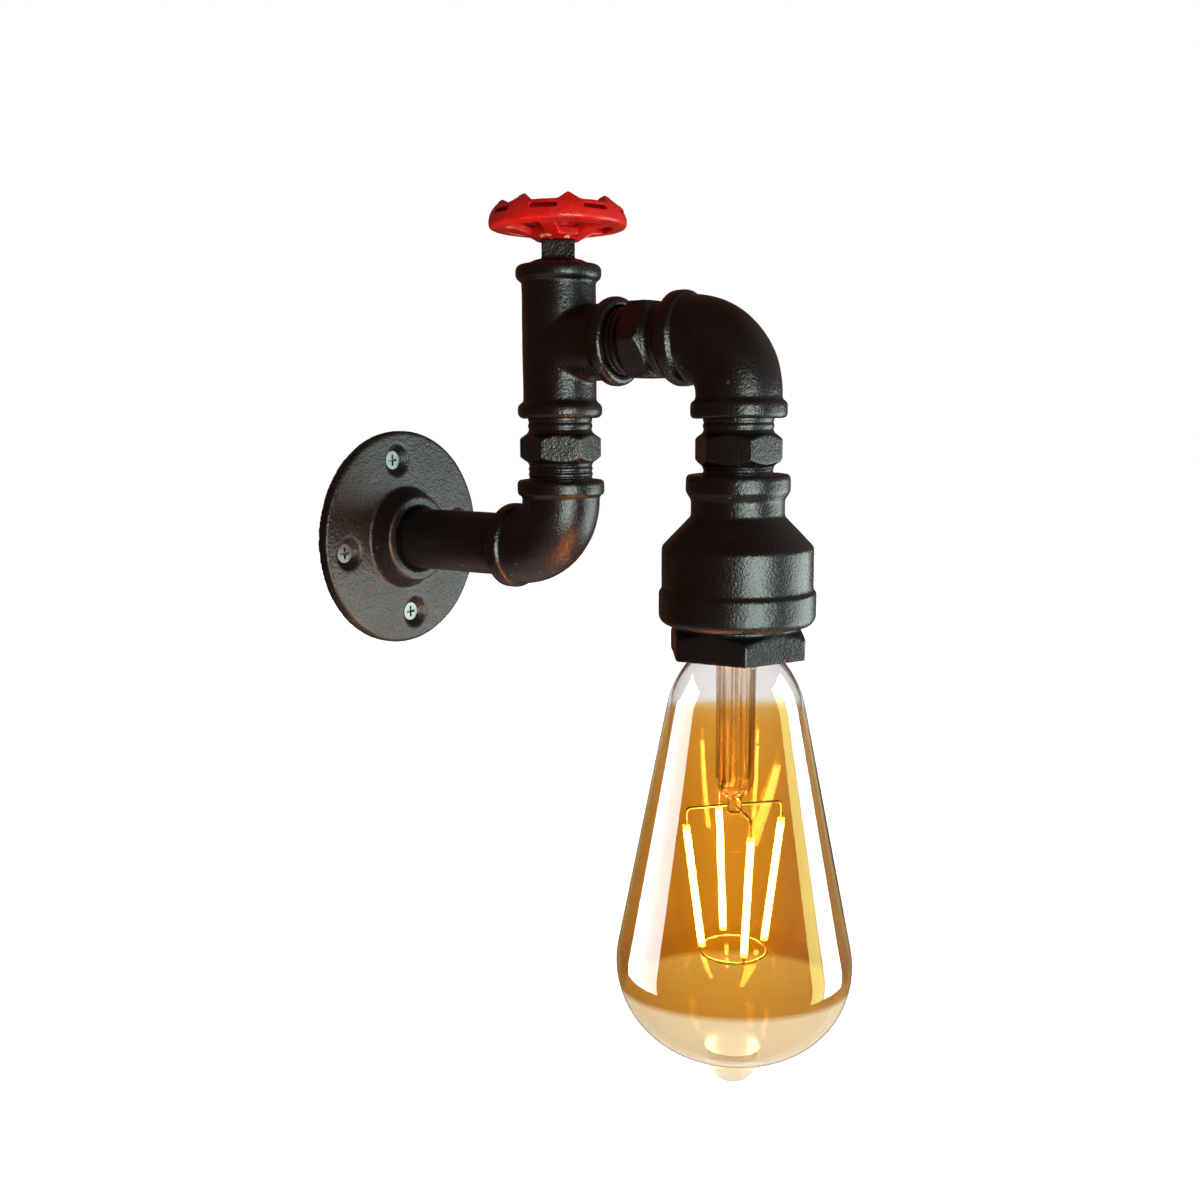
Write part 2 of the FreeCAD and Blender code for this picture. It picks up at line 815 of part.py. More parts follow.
# Plug in the top of the tee, with the square head that carries the hand wheel
def top_plug():
    body = make_body("top_plug", out=s.wall_reach, up=tee_top, turn=s.square_turn)
    shoulder_radius = s.square_half * math.sqrt(2) + s.square_bevel
    turn_solid(
        body,
        [
            (0, -s.plug_grip),
            (s.thread_radius, -s.plug_grip),
            (s.thread_radius, s.thread_gap),
            (shoulder_radius, s.plug_shoulder),
            (0, s.plug_shoulder),
        ],
    )
    half = s.square_half
    top = s.plug_shoulder + s.square_height
    push_solid(body, [rectangle(-half, half, -half, half)], s.plug_shoulder, s.square_height)
    hole = s.bolt_radius + s.bolt_gap
    push_solid(
        body, [], top - s.bolt_grip - MARGIN, s.bolt_grip + 2 * MARGIN, cut=True, circles=[(0, 0, hole)]
    )


# Dished hand wheel: hub, web with windows, and a rim with finger lobes
def hand_wheel():
    body = make_body("hand_wheel", out=s.wall_reach, up=wheel_foot, turn=s.wheel_turn)
    bore = s.bolt_radius + s.bolt_gap
    web_low = s.rim_low - s.web_drop
    turn_solid(
        body,
        [
            (bore, 0),
            (s.wheel_hub_radius, 0),
            (s.wheel_hub_radius, web_low - s.web_thickness),
            (s.rim_inner, web_low),
            (s.rim_radius - s.rim_edge, s.rim_low),
            (s.rim_radius, s.rim_low + s.rim_edge, s.rim_edge),
            (s.rim_crest + s.crest_round, s.rim_high - s.crest_round, s.rim_bend),
            (s.rim_crest - s.crest_round, s.rim_high - s.crest_round, s.crest_round * NEAR_HALF),
            (s.rim_inner, web_low + s.web_thickness),
            (s.wheel_hub_radius, web_low),
            (s.wheel_hub_radius, s.wheel_hub_height),
            (bore, s.wheel_hub_height),
        ],
    )
    cut_windows(body)
    cut_valleys(body)


def cut_windows(body):
    """Openings through the web, which leave the spokes and hollow the rim from below."""
    half = s.spoke_width / 2
    step = FULL_TURN / 2 / SIZES["spoke_count"]
    outer = s.window_outer
    inner = s.window_inner
    low = (cosine(step), sine(step))
    near = (inner * low[0] + half * low[1], inner * low[1] - half * low[0])
    far = (outer * low[0] + half * low[1], outer * low[1] - half * low[0])
    outline = [near, far, (far[0], -far[1], -outer_bend(far)), (near[0], -near[1])]
    window = push_solid(
        body, [outline], -s.web_thickness, s.window_top + s.web_thickness, cut=True
    )
    repeat(body, window, s.spoke_count)


def outer_bend(spot):
    """Radius of the circle about the wheel's axis that passes through a spot."""
    return root(spot[0] * spot[0] + spot[1] * spot[1])


def cut_valleys(body):
    """Dips between the pointed finger lobes, each with a blind slot below it."""
    point = s.rim_crest + s.lobe_set
    flat = point * sine(FULL_TURN / 2 / SIZES["lobe_count"]) - s.lobe_depth
    level = s.rim_high - s.lobe_depth
    rise = s.lobe_depth + MARGIN
    run = s.lobe_flare * TURN_RUN
    climb = run * cosine(SLOPE)
    half = s.slot_span / 2
    dip = [
        (run - flat, level, s.lobe_flare),
        (flat - run, level),
        (flat + climb, level + climb, s.lobe_flare),
        (flat + rise, level + rise),
        (-flat - rise, level + rise),
        (-flat - climb, level + climb),
    ]
    slot = rectangle(-half, half, s.slot_lift, s.slot_lift + s.slot_height)
    for name, outline, start in (("dip", dip, s.window_inner), ("slot", slot, s.slot_floor)):
        drawing = add_sketch(body, "YZ_Plane", lift=start)
        draw(drawing, outline)
        pocket = body.newObject("PartDesign::Pocket", name)
        pocket.Profile = drawing
        pocket.Reversed = True
        bind(pocket, "Length", s.rim_radius)
        repeat(body, pocket, s.lobe_count)


def wheel_washer():
    body = make_body("wheel_washer", out=s.wall_reach, up=wheel_top + s.wheel_lift)
    push_solid(
        body,
        [],
        as_size(0),
        s.washer_thickness,
        circles=[(0, 0, s.washer_radius), (0, 0, s.bolt_radius + s.bolt_gap)],
    )


def wheel_screw():
    low = wheel_top + s.wheel_lift + s.washer_thickness
    body = make_body("wheel_screw", out=s.wall_reach, up=low)
    length = low - (wheel_foot - s.wheel_lift - s.bolt_grip)
    turn_solid(
        body,
        [
            (0, -length),
            (s.bolt_radius - s.thread_groove, -length),
            (s.bolt_radius, s.thread_groove - length),
            (s.bolt_radius, 0),
            (s.bolt_head_radius, 0),
            (s.bolt_head_radius, s.bolt_head_edge),
            (0, s.bolt_head_height, s.bolt_dome),
        ],
    )
    half = s.drive_width / 2
    wide = s.bolt_head_radius + MARGIN
    push_solid(
        body,
        [rectangle(-wide, wide, -half, half)],
        s.bolt_head_height - s.drive_depth,
        s.drive_depth + MARGIN,
        cut=True,
    )


# Reducing socket: small mouth above, bell below; depths run down from its top face
def reducing_socket():
    body = make_body("reducing_socket", out=lamp_reach, up=reducer_top, facing="down")
    small = s.small_band_radius
    large = s.large_band_radius
    edge = s.collar_round
    neck = s.reducer_neck_radius
    bell_bore = s.bushing_thread + s.thread_gap
    bore_start = s.bell_start + s.bell_wall / 2
    web_end = s.web_depth + s.web_height
    cone_run = s.bell_round * (1 - cosine(SLOPE))
    turn_solid(
        body,
        [
            (mouth_radius, 0),
            (small - edge, 0),
            (small, edge, edge),
            (small, s.small_band_end - edge),
            (neck, s.small_band_end + edge),
            (neck, s.reducer_neck_end),
            (s.bell_radius - cone_run, s.bell_start - cone_run),
            (s.bell_radius, s.bell_start + s.bell_round * TURN_RUN, s.bell_round),
            (s.bell_radius, s.large_band_start),
            (large, s.large_band_start + edge / 2),
            (large, s.reducer_length - s.band_round),
            (large - s.band_round, s.reducer_length, s.band_round),
            (bell_bore + s.mouth_bevel, s.reducer_length),
            (bell_bore, s.reducer_length - s.mouth_bevel),
            (bell_bore, bore_start),
            (s.throat_radius, web_end),
            (s.bore_radius, web_end),
            (s.bore_radius, s.web_depth),
            (socket_radius, s.web_depth),
            (socket_radius, s.mouth_bevel),
        ],
    )


# Hexagon bushing that closes the bell round the lampholder
def hex_bushing():
    body = make_body("hex_bushing", out=lamp_reach, up=reducer_top, facing="down")
    corner_radius = s.bushing_flats / (2 * math.cos(math.pi / HEX_SIDES))
    turn_solid(
        body,
        [
            (s.bushing_bore, s.reducer_length - s.bushing_grip),
            (s.bushing_thread, s.reducer_length - s.bushing_grip),
            (s.bushing_thread, bushing_top),
            (corner_radius, bushing_top + s.bushing_bevel),
            (corner_radius, bushing_end),
            (s.bushing_bore + s.mouth_bevel, bushing_end),
            (s.bushing_bore, bushing_end - s.mouth_bevel),
        ],
    )
    push_solid(
        body,
        [polygon(corner_radius)],
        bushing_top,
        s.bushing_height,
        cut=True,
        circles=[(0, 0, corner_radius + MARGIN)],
        spin=HALF_TURN - s.bushing_turn,
    )


# Threaded conduit tube that hangs the lampholder in the reducing socket
def conduit_tube():
    body = make_body("conduit_tube", out=lamp_reach, up=reducer_top, facing="down")
    top = s.web_depth - s.clamp_washer_thickness - s.locknut_height - s.conduit_top
    push_solid(
        body,
        [],
        top,
        bridge_top + s.bridge_thickness - top,
        circles=[(0, 0, s.conduit_radius), (0, 0, s.conduit_bore)],
    )


def conduit_locknut():
    body = make_body("conduit_locknut", out=lamp_reach, up=reducer_top, facing="down")
    low = s.web_depth - s.clamp_washer_thickness - s.locknut_height
    radius = s.locknut_flats / (2 * math.cos(math.pi / HEX_SIDES))
    hole = s.conduit_radius + s.thread_gap
    push_solid(body, [polygon(radius)], low, s.locknut_height, circles=[(0, 0, hole)])


def clamp_washers():
    body = make_body("clamp_washers", out=lamp_reach, up=reducer_top, facing="down")
    hole = s.conduit_radius + s.thread_gap
    rings = [(0, 0, s.clamp_washer_radius), (0, 0, hole)]
    thick = s.clamp_washer_thickness
    push_solid(body, [], s.web_depth - thick, thick, circles=rings)
    push_solid(body, [], s.web_depth + s.web_height, thick, circles=rings)


# Steel bridge over the lampholder's terminals, screwed to the ceramic body
def holder_bridge():
    body = make_body("holder_bridge", out=lamp_reach, up=reducer_top, facing="down")
    half = s.bridge_width / 2
    thick = s.bridge_thickness
    top = bridge_top
    foot_top = holder_top - thick
    strip = rectangle(-s.bridge_half, s.bridge_half, -half, half)
    push_solid(body, [strip], top, thick)
    for way in (-1, 1):
        inner = way * (s.bridge_half - thick)
        outer = way * s.bridge_half
        leg = rectangle(*in_order(inner, outer), -half, half)
        push_solid(body, [leg], top, holder_top - top)
        tip = way * s.bridge_foot
        foot = rectangle(*in_order(inner, tip), -half, half)
        push_solid(body, [foot], foot_top, thick)
    hole = s.small_screw_radius + s.thread_gap
    spots = [(-s.foot_screw_place, 0, hole), (s.foot_screw_place, 0, hole)]
    push_solid(body, [], foot_top - MARGIN, thick + 2 * MARGIN, cut=True, circles=spots)
    hub = s.conduit_radius + s.thread_gap
    push_solid(body, [], top - MARGIN, thick + 2 * MARGIN, cut=True, circles=[(0, 0, hub)])


def small_screws(name, places, head_low, length):
    """Round-headed screws whose heads sit above a face; depths run down."""
    body = make_body(name, out=lamp_reach, up=reducer_top, facing="down")
    head_top = head_low - s.small_head_height
    heads = [(across, deep, s.small_head_radius) for across, deep in places]
    shanks = [(across, deep, s.small_screw_radius) for across, deep in places]
    push_solid(body, [], head_top, s.small_head_height, circles=heads)
    push_solid(body, [], head_low, length, circles=shanks)
    return body


# Ceramic lampholder body: a cup for the screw shell with a floor that carries the contacts
def lampholder_body():
    body = make_body("lampholder_body", out=lamp_reach, up=reducer_top, facing="down")
    cup = s.liner_radius + s.liner_wall + s.liner_gap
    floor = holder_top + s.holder_floor
    end = floor + s.holder_cup
    turn_solid(
        body,
        [
            (0, holder_top),
            (s.holder_radius - s.mouth_bevel, holder_top),
            (s.holder_radius, holder_top + s.mouth_bevel),
            (s.holder_radius, end),
            (cup, end),
            (cup, floor),
            (0, floor),
        ],
    )
    low = holder_top - MARGIN
    rivet = [(0, 0, s.rivet_radius + s.thread_gap)]
    push_solid(body, [], low, s.holder_floor + 2 * MARGIN, cut=True, circles=rivet)
    hole = s.small_screw_radius + s.thread_gap
    place = s.terminal_place + s.terminal_depth / 2
    spots = [(-s.foot_screw_place, 0, hole), (s.foot_screw_place, 0, hole)]
    spots += [(0, -place, hole), (0, place, hole)]
    push_solid(body, [], low, s.foot_grip + s.thread_gap + MARGIN, cut=True, circles=spots)


# Brass shell that the bulb's cap screws into
def screw_shell():
    body = make_body("screw_shell", out=lamp_reach, up=reducer_top, facing="down")
    floor = holder_top + s.holder_floor
    outer = s.liner_radius + s.liner_wall
    tab = s.liner_radius - s.liner_tab
    turn_solid(
        body,
        [
            (tab, floor + s.touch_gap),
            (outer, floor + s.touch_gap),
            (outer, floor + s.holder_cup - s.liner_gap),
            (s.liner_radius, floor + s.holder_cup - s.liner_gap),
            (s.liner_radius, floor + s.touch_gap + s.liner_wall),
            (tab, floor + s.touch_gap + s.liner_wall),
        ],
    )


def centre_contact():
    body = make_body("centre_contact", out=lamp_reach, up=reducer_top, facing="down")
    floor = holder_top + s.holder_floor
    turn_solid(
        body,
        [
            (0, holder_top - s.touch_gap),
            (s.rivet_radius, holder_top - s.touch_gap),
            (s.rivet_radius, floor + s.touch_gap),
            (s.contact_pad, floor + s.touch_gap),
            (s.contact_pad, contact_place - s.mouth_bevel),
            (s.contact_pad / 2, contact_place),
            (0, contact_place),
        ],
    )


def terminal_blocks():
    body = make_body("terminal_blocks", out=lamp_reach, up=reducer_top, facing="down")
    half = s.terminal_width / 2
    near = s.terminal_place
    far = s.terminal_place + s.terminal_depth
    outlines = [rectangle(-half, half, near, far), rectangle(-half, half, -far, -near)]
    top = holder_top - s.terminal_height
    push_solid(body, outlines, top, s.terminal_height)
    hole = s.small_screw_radius + s.thread_gap
    place = s.terminal_place + s.terminal_depth / 2
    spots = [(0, -place, hole), (0, place, hole)]
    push_solid(body, [], top - MARGIN, s.terminal_height + 2 * MARGIN, cut=True, circles=spots)


# Screws of the lampholder: in the bridge's feet, in the terminals, and for the earth core
def holder_screws():
    foot = s.foot_screw_place
    foot_low = holder_top - s.bridge_thickness
    grip = s.bridge_thickness + s.foot_grip
    small_screws("bridge_screws", [(-foot, 0), (foot, 0)], foot_low, grip)
    place = s.terminal_place + s.terminal_depth / 2
    block_top = holder_top - s.terminal_height
    length = s.terminal_height + s.foot_grip
    small_screws("terminal_screws", [(0, -place), (0, place)], block_top, length)


def earth_screw():
    body = make_body("earth_screw", out=lamp_reach, up=reducer_top, facing="down")
    inner = s.bridge_half - s.bridge_thickness
    corners = [
        (0, -inner),
        (s.small_head_radius, -inner),
        (s.small_head_radius, s.small_head_height - inner),
        (0, s.small_head_height - inner),
    ]
    drawing = add_sketch(body, "XZ_Plane")
    draw(drawing, [(height, core_level + radius) for radius, height in corners])
    low = FreeCAD.Vector(0, core_level.value, 0)
    line = drawing.addGeometry(Part.LineSegment(low, low + FreeCAD.Vector(1, 0, 0)), True)
    pin_point(drawing, line, 1, 0, core_level)
    pin_point(drawing, line, 2, as_size(1), core_level)
    feature = body.newObject("PartDesign::Revolution", "earth_head")
    feature.Profile = drawing
    feature.ReferenceAxis = (drawing, ["Axis0"])
    feature.Angle = FULL_TURN


# Lead inside the pipes, one round flex cut at the planes where the arm and the head turn
def flexes():
    supply = make_body("supply_flex", out=s.wall_reach)
    start = s.wall_reach - (s.pipe_set_back - s.bush_lip)
    bend_solid(supply, s.flex_radius, tee_foot, as_size(0), s.elbow_bend, start)
    arm = make_body("arm_flex", out=s.wall_reach, facing="round")
    bend_solid(arm, s.flex_radius, tee_foot, s.branch_rise, s.tee_flex_bend, s.tee_branch)
    head = make_body("head_flex", out=lamp_reach)
    span = lamp_reach - tee_face
    bend_solid(head, s.flex_radius, reducer_top - flex_end, s.branch_rise, s.elbow_bend, span)


# The flex's three cores, from its end to the terminals and to the earth screw
def flex_cores():
    spread = s.core_spread
    start = reducer_top - flex_end
    level = reducer_top - core_level
    screw_face = s.bridge_half - s.bridge_thickness - s.small_head_height
    live = make_body("live_core", out=lamp_reach, up=start)
    neutral = make_body("neutral_core", out=lamp_reach, up=start, facing="round")
    earth = make_body("earth_core", out=lamp_reach, up=start, facing="aside")
    for body, reach in ((live, s.terminal_place), (neutral, s.terminal_place), (earth, screw_face)):
        bend_solid(body, s.core_radius, as_size(0), level - start, s.core_bend, reach, begin=spread)


# Bulb cap: thin threaded brass shell, black insulator and the contact at its tip
def bulb_cap():
    body = make_body("bulb_cap", out=lamp_reach, up=reducer_top, facing="down")
    outer = s.cap_radius
    thread_end = cap_end - s.skirt_height
    rings = int((s.cap_length.value - s.skirt_height.value) / s.cap_pitch.value)
    step = (thread_end - cap_top) / rings
    wall = s.cap_wall
    outside = []
    for index in range(rings):
        low = cap_top + step * index
        depths = (s.cap_groove, 0, 0, s.cap_groove)
        outside += [(outer - cut, low + step * part) for cut, part in zip(depths, CAP_WAVE)]
    outside += [
        (outer - s.cap_groove, thread_end),
        (outer, thread_end + s.cap_groove),
        (outer + s.skirt_flare, cap_end),
    ]
    lip = s.cap_radius - s.cap_groove - s.insulator_height / 2
    inside = [(radius - wall, height + wall / 4) for radius, height in reversed(outside[:-1])]
    corners = [(lip, cap_top)] + outside
    corners += [(outer + s.skirt_flare - wall, cap_end)] + inside
    corners += [(outer - s.cap_groove - wall, cap_top + wall), (lip, cap_top + wall)]
    turn_solid(body, corners)


def cap_insulator():
    body = make_body("cap_insulator", out=lamp_reach, up=reducer_top, facing="down")
    base = s.cap_radius - s.cap_groove - s.insulator_height / 2
    tip = cap_top - s.insulator_height
    turn_solid(
        body,
        [
            (0, tip),
            (s.tip_radius + s.mouth_bevel, tip),
            (base + s.insulator_height / 2 - s.cap_wall, cap_top - s.touch_gap),
            (base, cap_top - s.touch_gap),
            (base - s.touch_gap, cap_top + s.cap_wall * 3),
            (0, cap_top + s.cap_wall * 3),
        ],
    )


def cap_contact():
    body = make_body("cap_contact", out=lamp_reach, up=reducer_top, facing="down")
    tip = contact_place + s.touch_gap
    turn_solid(
        body,
        [
            (0, tip),
            (s.tip_radius, tip + s.tip_height / 2, s.tip_dome),
            (s.tip_radius, tip + s.tip_height),
            (0, tip + s.tip_height),
        ],
    )


# Glass envelope: neck, long cone, round belly and the sealed tip below
def bulb_outline(inset):
    """The outline of the glass from the neck down to its axis, drawn in by inset."""
    lean = s.cone_angle
    far = s.shoulder_bend - inset
    shoulder = (
        s.shoulder_radius - inset * cosine(lean),
        cap_end + s.shoulder_depth - inset * sine(lean),
    )
    shoulder_centre = (
        s.shoulder_radius - s.shoulder_bend * cosine(lean),
        cap_end + s.shoulder_depth + s.shoulder_bend * sine(lean),
    )
    neck = s.neck_radius - inset
    across = neck - shoulder_centre[0]
    neck_end = shoulder_centre[1] - root(far * far - across * across)
    belly = s.belly_bend
    belly_radius = s.bulb_radius - belly + belly * cosine(lean)
    slope = sine(lean) / cosine(lean)
    cone_end = cap_end + s.shoulder_depth + (belly_radius - s.shoulder_radius) / slope
    middle = cone_end + belly * sine(lean)
    side = s.bulb_radius - belly
    bottom = (side * side + s.dome_depth * s.dome_depth - belly * belly) / ((s.dome_depth - belly) * 2)
    dome_centre = middle + s.dome_depth - bottom
    share = side / (bottom - belly)
    dome_start = (bottom - inset) * share
    fall = root(as_size(1) - share * share)
    return {
        "neck": (neck, neck_end),
        "shoulder": (*shoulder, far),
        "cone": (belly_radius - inset * cosine(lean), cone_end - inset * sine(lean)),
        "belly": (dome_start, dome_centre + (bottom - inset) * fall, belly - inset),
        "bottom": bottom - inset,
        "end": middle + s.dome_depth - inset,
        "dome_centre": dome_centre,
    }


def bulb_glass():
    body = make_body("bulb_glass", out=lamp_reach, up=reducer_top, facing="down")
    outer = bulb_outline(as_size(0))
    inner = bulb_outline(s.glass_wall)
    nub = s.nub_radius
    drop = root(outer["bottom"] * outer["bottom"] - nub * nub)
    tip = outer["end"] + s.nub_length
    corners = [
        (s.neck_radius - s.glass_wall, glass_top),
        (s.neck_radius, glass_top),
        outer["neck"],
        outer["shoulder"],
        outer["cone"],
        outer["belly"],
        (nub, outer["dome_centre"] + drop, outer["bottom"]),
        (s.nub_tip, tip - s.nub_tip),
        (0, tip, s.nub_tip),
        (0, inner["end"]),
        (inner["belly"][0], inner["belly"][1], -inner["bottom"]),
        (inner["cone"][0], inner["cone"][1], -inner["belly"][2]),
        inner["shoulder"][:2],
        (inner["neck"][0], inner["neck"][1], -inner["shoulder"][2]),
    ]
    turn_solid(body, corners)


# Glass stem that rises inside the neck and carries the leads
def glass_stem():
    body = make_body("glass_stem", out=lamp_reach, up=reducer_top, facing="down")
    top = glass_top + s.stem_set
    end = cap_end + s.stem_length
    wall = s.stem_wall
    radius = s.stem_radius
    turn_solid(
        body,
        [
            (s.stem_flare - wall, top),
            (s.stem_flare, top),
            (radius, top + s.stem_flare - radius, s.stem_curve),
            (radius, end - radius),
            (s.bead_radius, end, s.stem_shoulder),
            (0, end),
            (0, end - wall),
            (s.bead_radius - wall, end - wall),
            (radius - wall, end - radius, wall - s.stem_shoulder),
            (radius - wall, top + s.stem_flare - radius),
        ],
    )


def stem_bead():
    body = make_body("stem_bead", out=lamp_reach, up=reducer_top, facing="down")
    low = cap_end + s.stem_length + s.touch_gap
    flat = s.bead_radius - s.bead_round
    turn_solid(
        body,
        [
            (0, low),
            (flat, low),
            (s.bead_radius, low + s.bead_round, s.bead_round),
            (s.bead_radius, low + s.bead_length - s.bead_round),
            (flat, low + s.bead_length, s.bead_round),
            (0, low + s.bead_length),
        ],
    )


# Four leaning filaments in a ring
def filaments():
    body = make_body("filaments", out=lamp_reach, up=reducer_top, facing="down")
    sections = []
    for height, radius in ((filament_top, s.filament_top), (filament_end, s.filament_foot)):
        drawing = add_sketch(body, "XY_Plane", lift=height, spin=FILAMENT_SPIN)
        add_circle(drawing, 0, radius, s.filament_radius)
        sections.append(drawing)
    rod = body.newObject("PartDesign::AdditiveLoft", "filament")
    rod.Profile = sections[0]
    rod.Sections = [sections[1]]
    repeat(body, rod, FILAMENT_COUNT)


# Hooked wires from the bead out to the tops of the filaments
def upper_wires():
    body = make_body("upper_wires", out=lamp_reach, up=reducer_top, facing="down")
    start = filament_top - s.touch_gap
    level = cap_end + s.stem_length + s.bead_length / 2
    inner = s.bead_radius + s.touch_gap
    wire = bend_solid(
        body, s.wire_radius, start, level, s.hook_bend, inner, begin=s.filament_top, spin=FILAMENT_SPIN
    )
    repeat(body, wire, FILAMENT_COUNT)


# Wire ring with four legs that ties the feet of the filaments
def lower_frame():
    body = make_body("lower_frame", out=lamp_reach, up=reducer_top, facing="down")
    level = filament_end + s.frame_drop
    start = filament_end + s.touch_gap
    radius = s.filament_foot
    leg = push_solid(
        body, [], start, level - start, circles=[(0, radius, s.wire_radius)], spin=FILAMENT_SPIN
    )
    repeat(body, leg, FILAMENT_COUNT)
    drawing = add_sketch(body, "YZ_Plane")
    add_circle(drawing, radius, level, s.frame_wire)
    ring = body.newObject("PartDesign::Revolution", "ring")
    ring.Profile = drawing
    ring.ReferenceAxis = (drawing, ["V_Axis"])
    ring.Angle = FULL_TURN


# Two leads inside the stem, from the driver board to the bead
def lead_wires():
    body = make_body("lead_wires", out=lamp_reach, up=reducer_top, facing="down")
    low = cap_top + s.board_place + s.board_thickness + s.touch_gap
    end = cap_end + s.stem_length - s.stem_wall - s.touch_gap
    spots = [(-s.lead_spread, 0, s.wire_radius), (s.lead_spread, 0, s.wire_radius)]
    push_solid(body, [], low, end - low, circles=spots)


# Small driver inside the cap: a round board and a capacitor
def driver_board():
    body = make_body("driver_board", out=lamp_reach, up=reducer_top, facing="down")
    low = cap_top + s.board_place
    radius = s.cap_radius - s.cap_groove - s.cap_wall - s.board_gap
    push_solid(body, [], low, s.board_thickness, circles=[(0, 0, radius)])


def driver_capacitor():
    body = make_body("driver_capacitor", out=lamp_reach, up=reducer_top, facing="down")
    low = cap_top + s.board_place - s.capacitor_height
    push_solid(body, [], low, s.capacitor_height, circles=[(0, 0, s.capacitor_radius)])


def build():
    wall_flange()
    flange_screws()
    wall_pipe()
    entry_bush()
    elbow("lower_elbow", s.lower_side, s.lower_rise, s.wall_reach, 0, "up")
    lower_gap = tee_foot - s.lower_rise
    lower_high = lower_gap - s.lower_neck - s.hex_length
    hex_nipple("lower_nipple", s.grip, s.lower_neck, lower_high, s.grip, s.wall_reach, s.lower_rise,
               turn=s.lower_hex_turn)
    tee()
    branch_high = elbow_face - tee_face - s.branch_neck - s.hex_length
    hex_nipple("branch_nipple", s.grip, s.branch_neck, branch_high, s.grip, tee_face, s.branch_rise,
               facing="out")
    top_plug()
    hand_wheel()
    wheel_washer()
    wheel_screw()
    elbow("upper_elbow", s.upper_side, s.upper_drop, lamp_reach, s.branch_rise, "down")
    drop_grip = s.web_depth - s.clamp_washer_thickness - s.locknut_height - s.nut_gap
    hex_nipple("drop_nipple", drop_grip, s.drop_foot, s.drop_neck, s.grip, lamp_reach, reducer_top,
               turn=s.drop_hex_turn)
    reducing_socket()
    hex_bushing()
    conduit_tube()
    conduit_locknut()
    clamp_washers()
    holder_bridge()
    lampholder_body()
    screw_shell()
    centre_contact()
    terminal_blocks()
    holder_screws()
    earth_screw()
    flexes()
    flex_cores()
    bulb_cap()
    cap_insulator()
    cap_contact()
    bulb_glass()
    glass_stem()
    stem_bead()
    filaments()
    upper_wires()
    lower_frame()
    lead_wires()
    driver_board()
    driver_capacitor()


def check_and_write():
    """Stop on any failed object or bad solid, then write one file for each piece."""
    doc.recompute()
    broken = [item.Name for item in doc.Objects if {"Invalid", "Error"} & set(item.State)]
    if broken:
        raise RuntimeError("failed objects: " + ", ".join(broken))
    bad = [item.Label for item in parts if item.Shape.isNull() or not item.Shape.isValid()]
    if bad:
        raise RuntimeError("bad solids: " + ", ".join(bad))
    os.makedirs("parts", exist_ok=True)
    for item in parts:
        item.Shape.exportStep(os.path.join("parts", item.Label + ".step"))
        box = item.Shape.BoundBox
        print(f"{item.Label}: {len(item.Shape.Solids)} solids, {item.Shape.Volume:.0f} mm3, "
              f"z {box.ZMin:.1f} to {box.ZMax:.1f}")


build()
check_and_write()
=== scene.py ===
import json
import math

import bmesh
import bpy
from mathutils import Matrix, Vector


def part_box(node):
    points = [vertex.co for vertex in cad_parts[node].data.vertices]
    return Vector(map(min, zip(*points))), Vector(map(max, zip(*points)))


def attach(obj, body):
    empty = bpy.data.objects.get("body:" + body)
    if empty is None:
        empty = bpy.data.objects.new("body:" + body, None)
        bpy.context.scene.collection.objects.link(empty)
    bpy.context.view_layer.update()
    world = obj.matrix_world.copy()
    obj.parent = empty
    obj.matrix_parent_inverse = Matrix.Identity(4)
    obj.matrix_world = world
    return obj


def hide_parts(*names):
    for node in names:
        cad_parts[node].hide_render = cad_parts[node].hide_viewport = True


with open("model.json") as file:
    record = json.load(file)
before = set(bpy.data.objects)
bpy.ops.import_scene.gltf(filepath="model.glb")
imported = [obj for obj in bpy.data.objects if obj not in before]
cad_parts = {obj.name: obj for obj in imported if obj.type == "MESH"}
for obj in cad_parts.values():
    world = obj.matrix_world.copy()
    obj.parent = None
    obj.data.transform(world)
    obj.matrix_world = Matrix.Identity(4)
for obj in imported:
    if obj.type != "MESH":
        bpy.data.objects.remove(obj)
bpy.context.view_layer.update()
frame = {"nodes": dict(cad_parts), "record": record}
bodies = frame["record"]["behaviour"]["bodies"]
body_of = {node: body for body, nodes in bodies.items() for node in nodes}
MM = 0.001
print("pieces:", len(body_of), "bodies:", sorted(bodies))

# %% [markdown]
# The camera stands in front of the lamp, to the left of the wall's normal and a little above the
# flange. It could be aimed at a target with a constraint, but its place and its three angles are
# known here, so its matrix is written down directly: right, up and backward as columns.
# %% Camera
AZIMUTH, PITCH, ROLL = (math.radians(a) for a in (-54.5035, 8.6301, -0.4076))
CAMERA_PLACE = Vector((-313.31, -313.60, 42.41)) * MM


def camera_matrix(place, azimuth, pitch, roll):
    """Where a camera stands and how it is turned, with the angles in radians."""
    forward = Vector((
        -math.sin(azimuth) * math.cos(pitch),
        math.cos(azimuth) * math.cos(pitch),
        -math.sin(pitch),
    ))
    level = Vector((math.cos(azimuth), math.sin(azimuth), 0))
    upright = level.cross(forward)
    right = level * math.cos(roll) + upright * math.sin(roll)
    up = upright * math.cos(roll) - level * math.sin(roll)
    turn = Matrix((right, up, -forward)).transposed()
    return Matrix.Translation(place) @ turn.to_4x4()


lens = bpy.data.cameras.new("photo_camera")
lens.lens = lens.sensor_width = 36
lens.clip_start, lens.clip_end = 0.01, 20
camera = bpy.data.objects.new("photo_camera", lens)
camera.matrix_world = camera_matrix(CAMERA_PLACE, AZIMUTH, PITCH, ROLL)
bpy.context.scene.collection.objects.link(camera)
bpy.context.scene.camera = camera
bpy.context.scene.view_settings.view_transform = "Standard"
view_right = camera.matrix_world.col[0].to_3d()
view_back = camera.matrix_world.col[2].to_3d()
print("camera looks along", [round(c, 3) for c in -view_back])


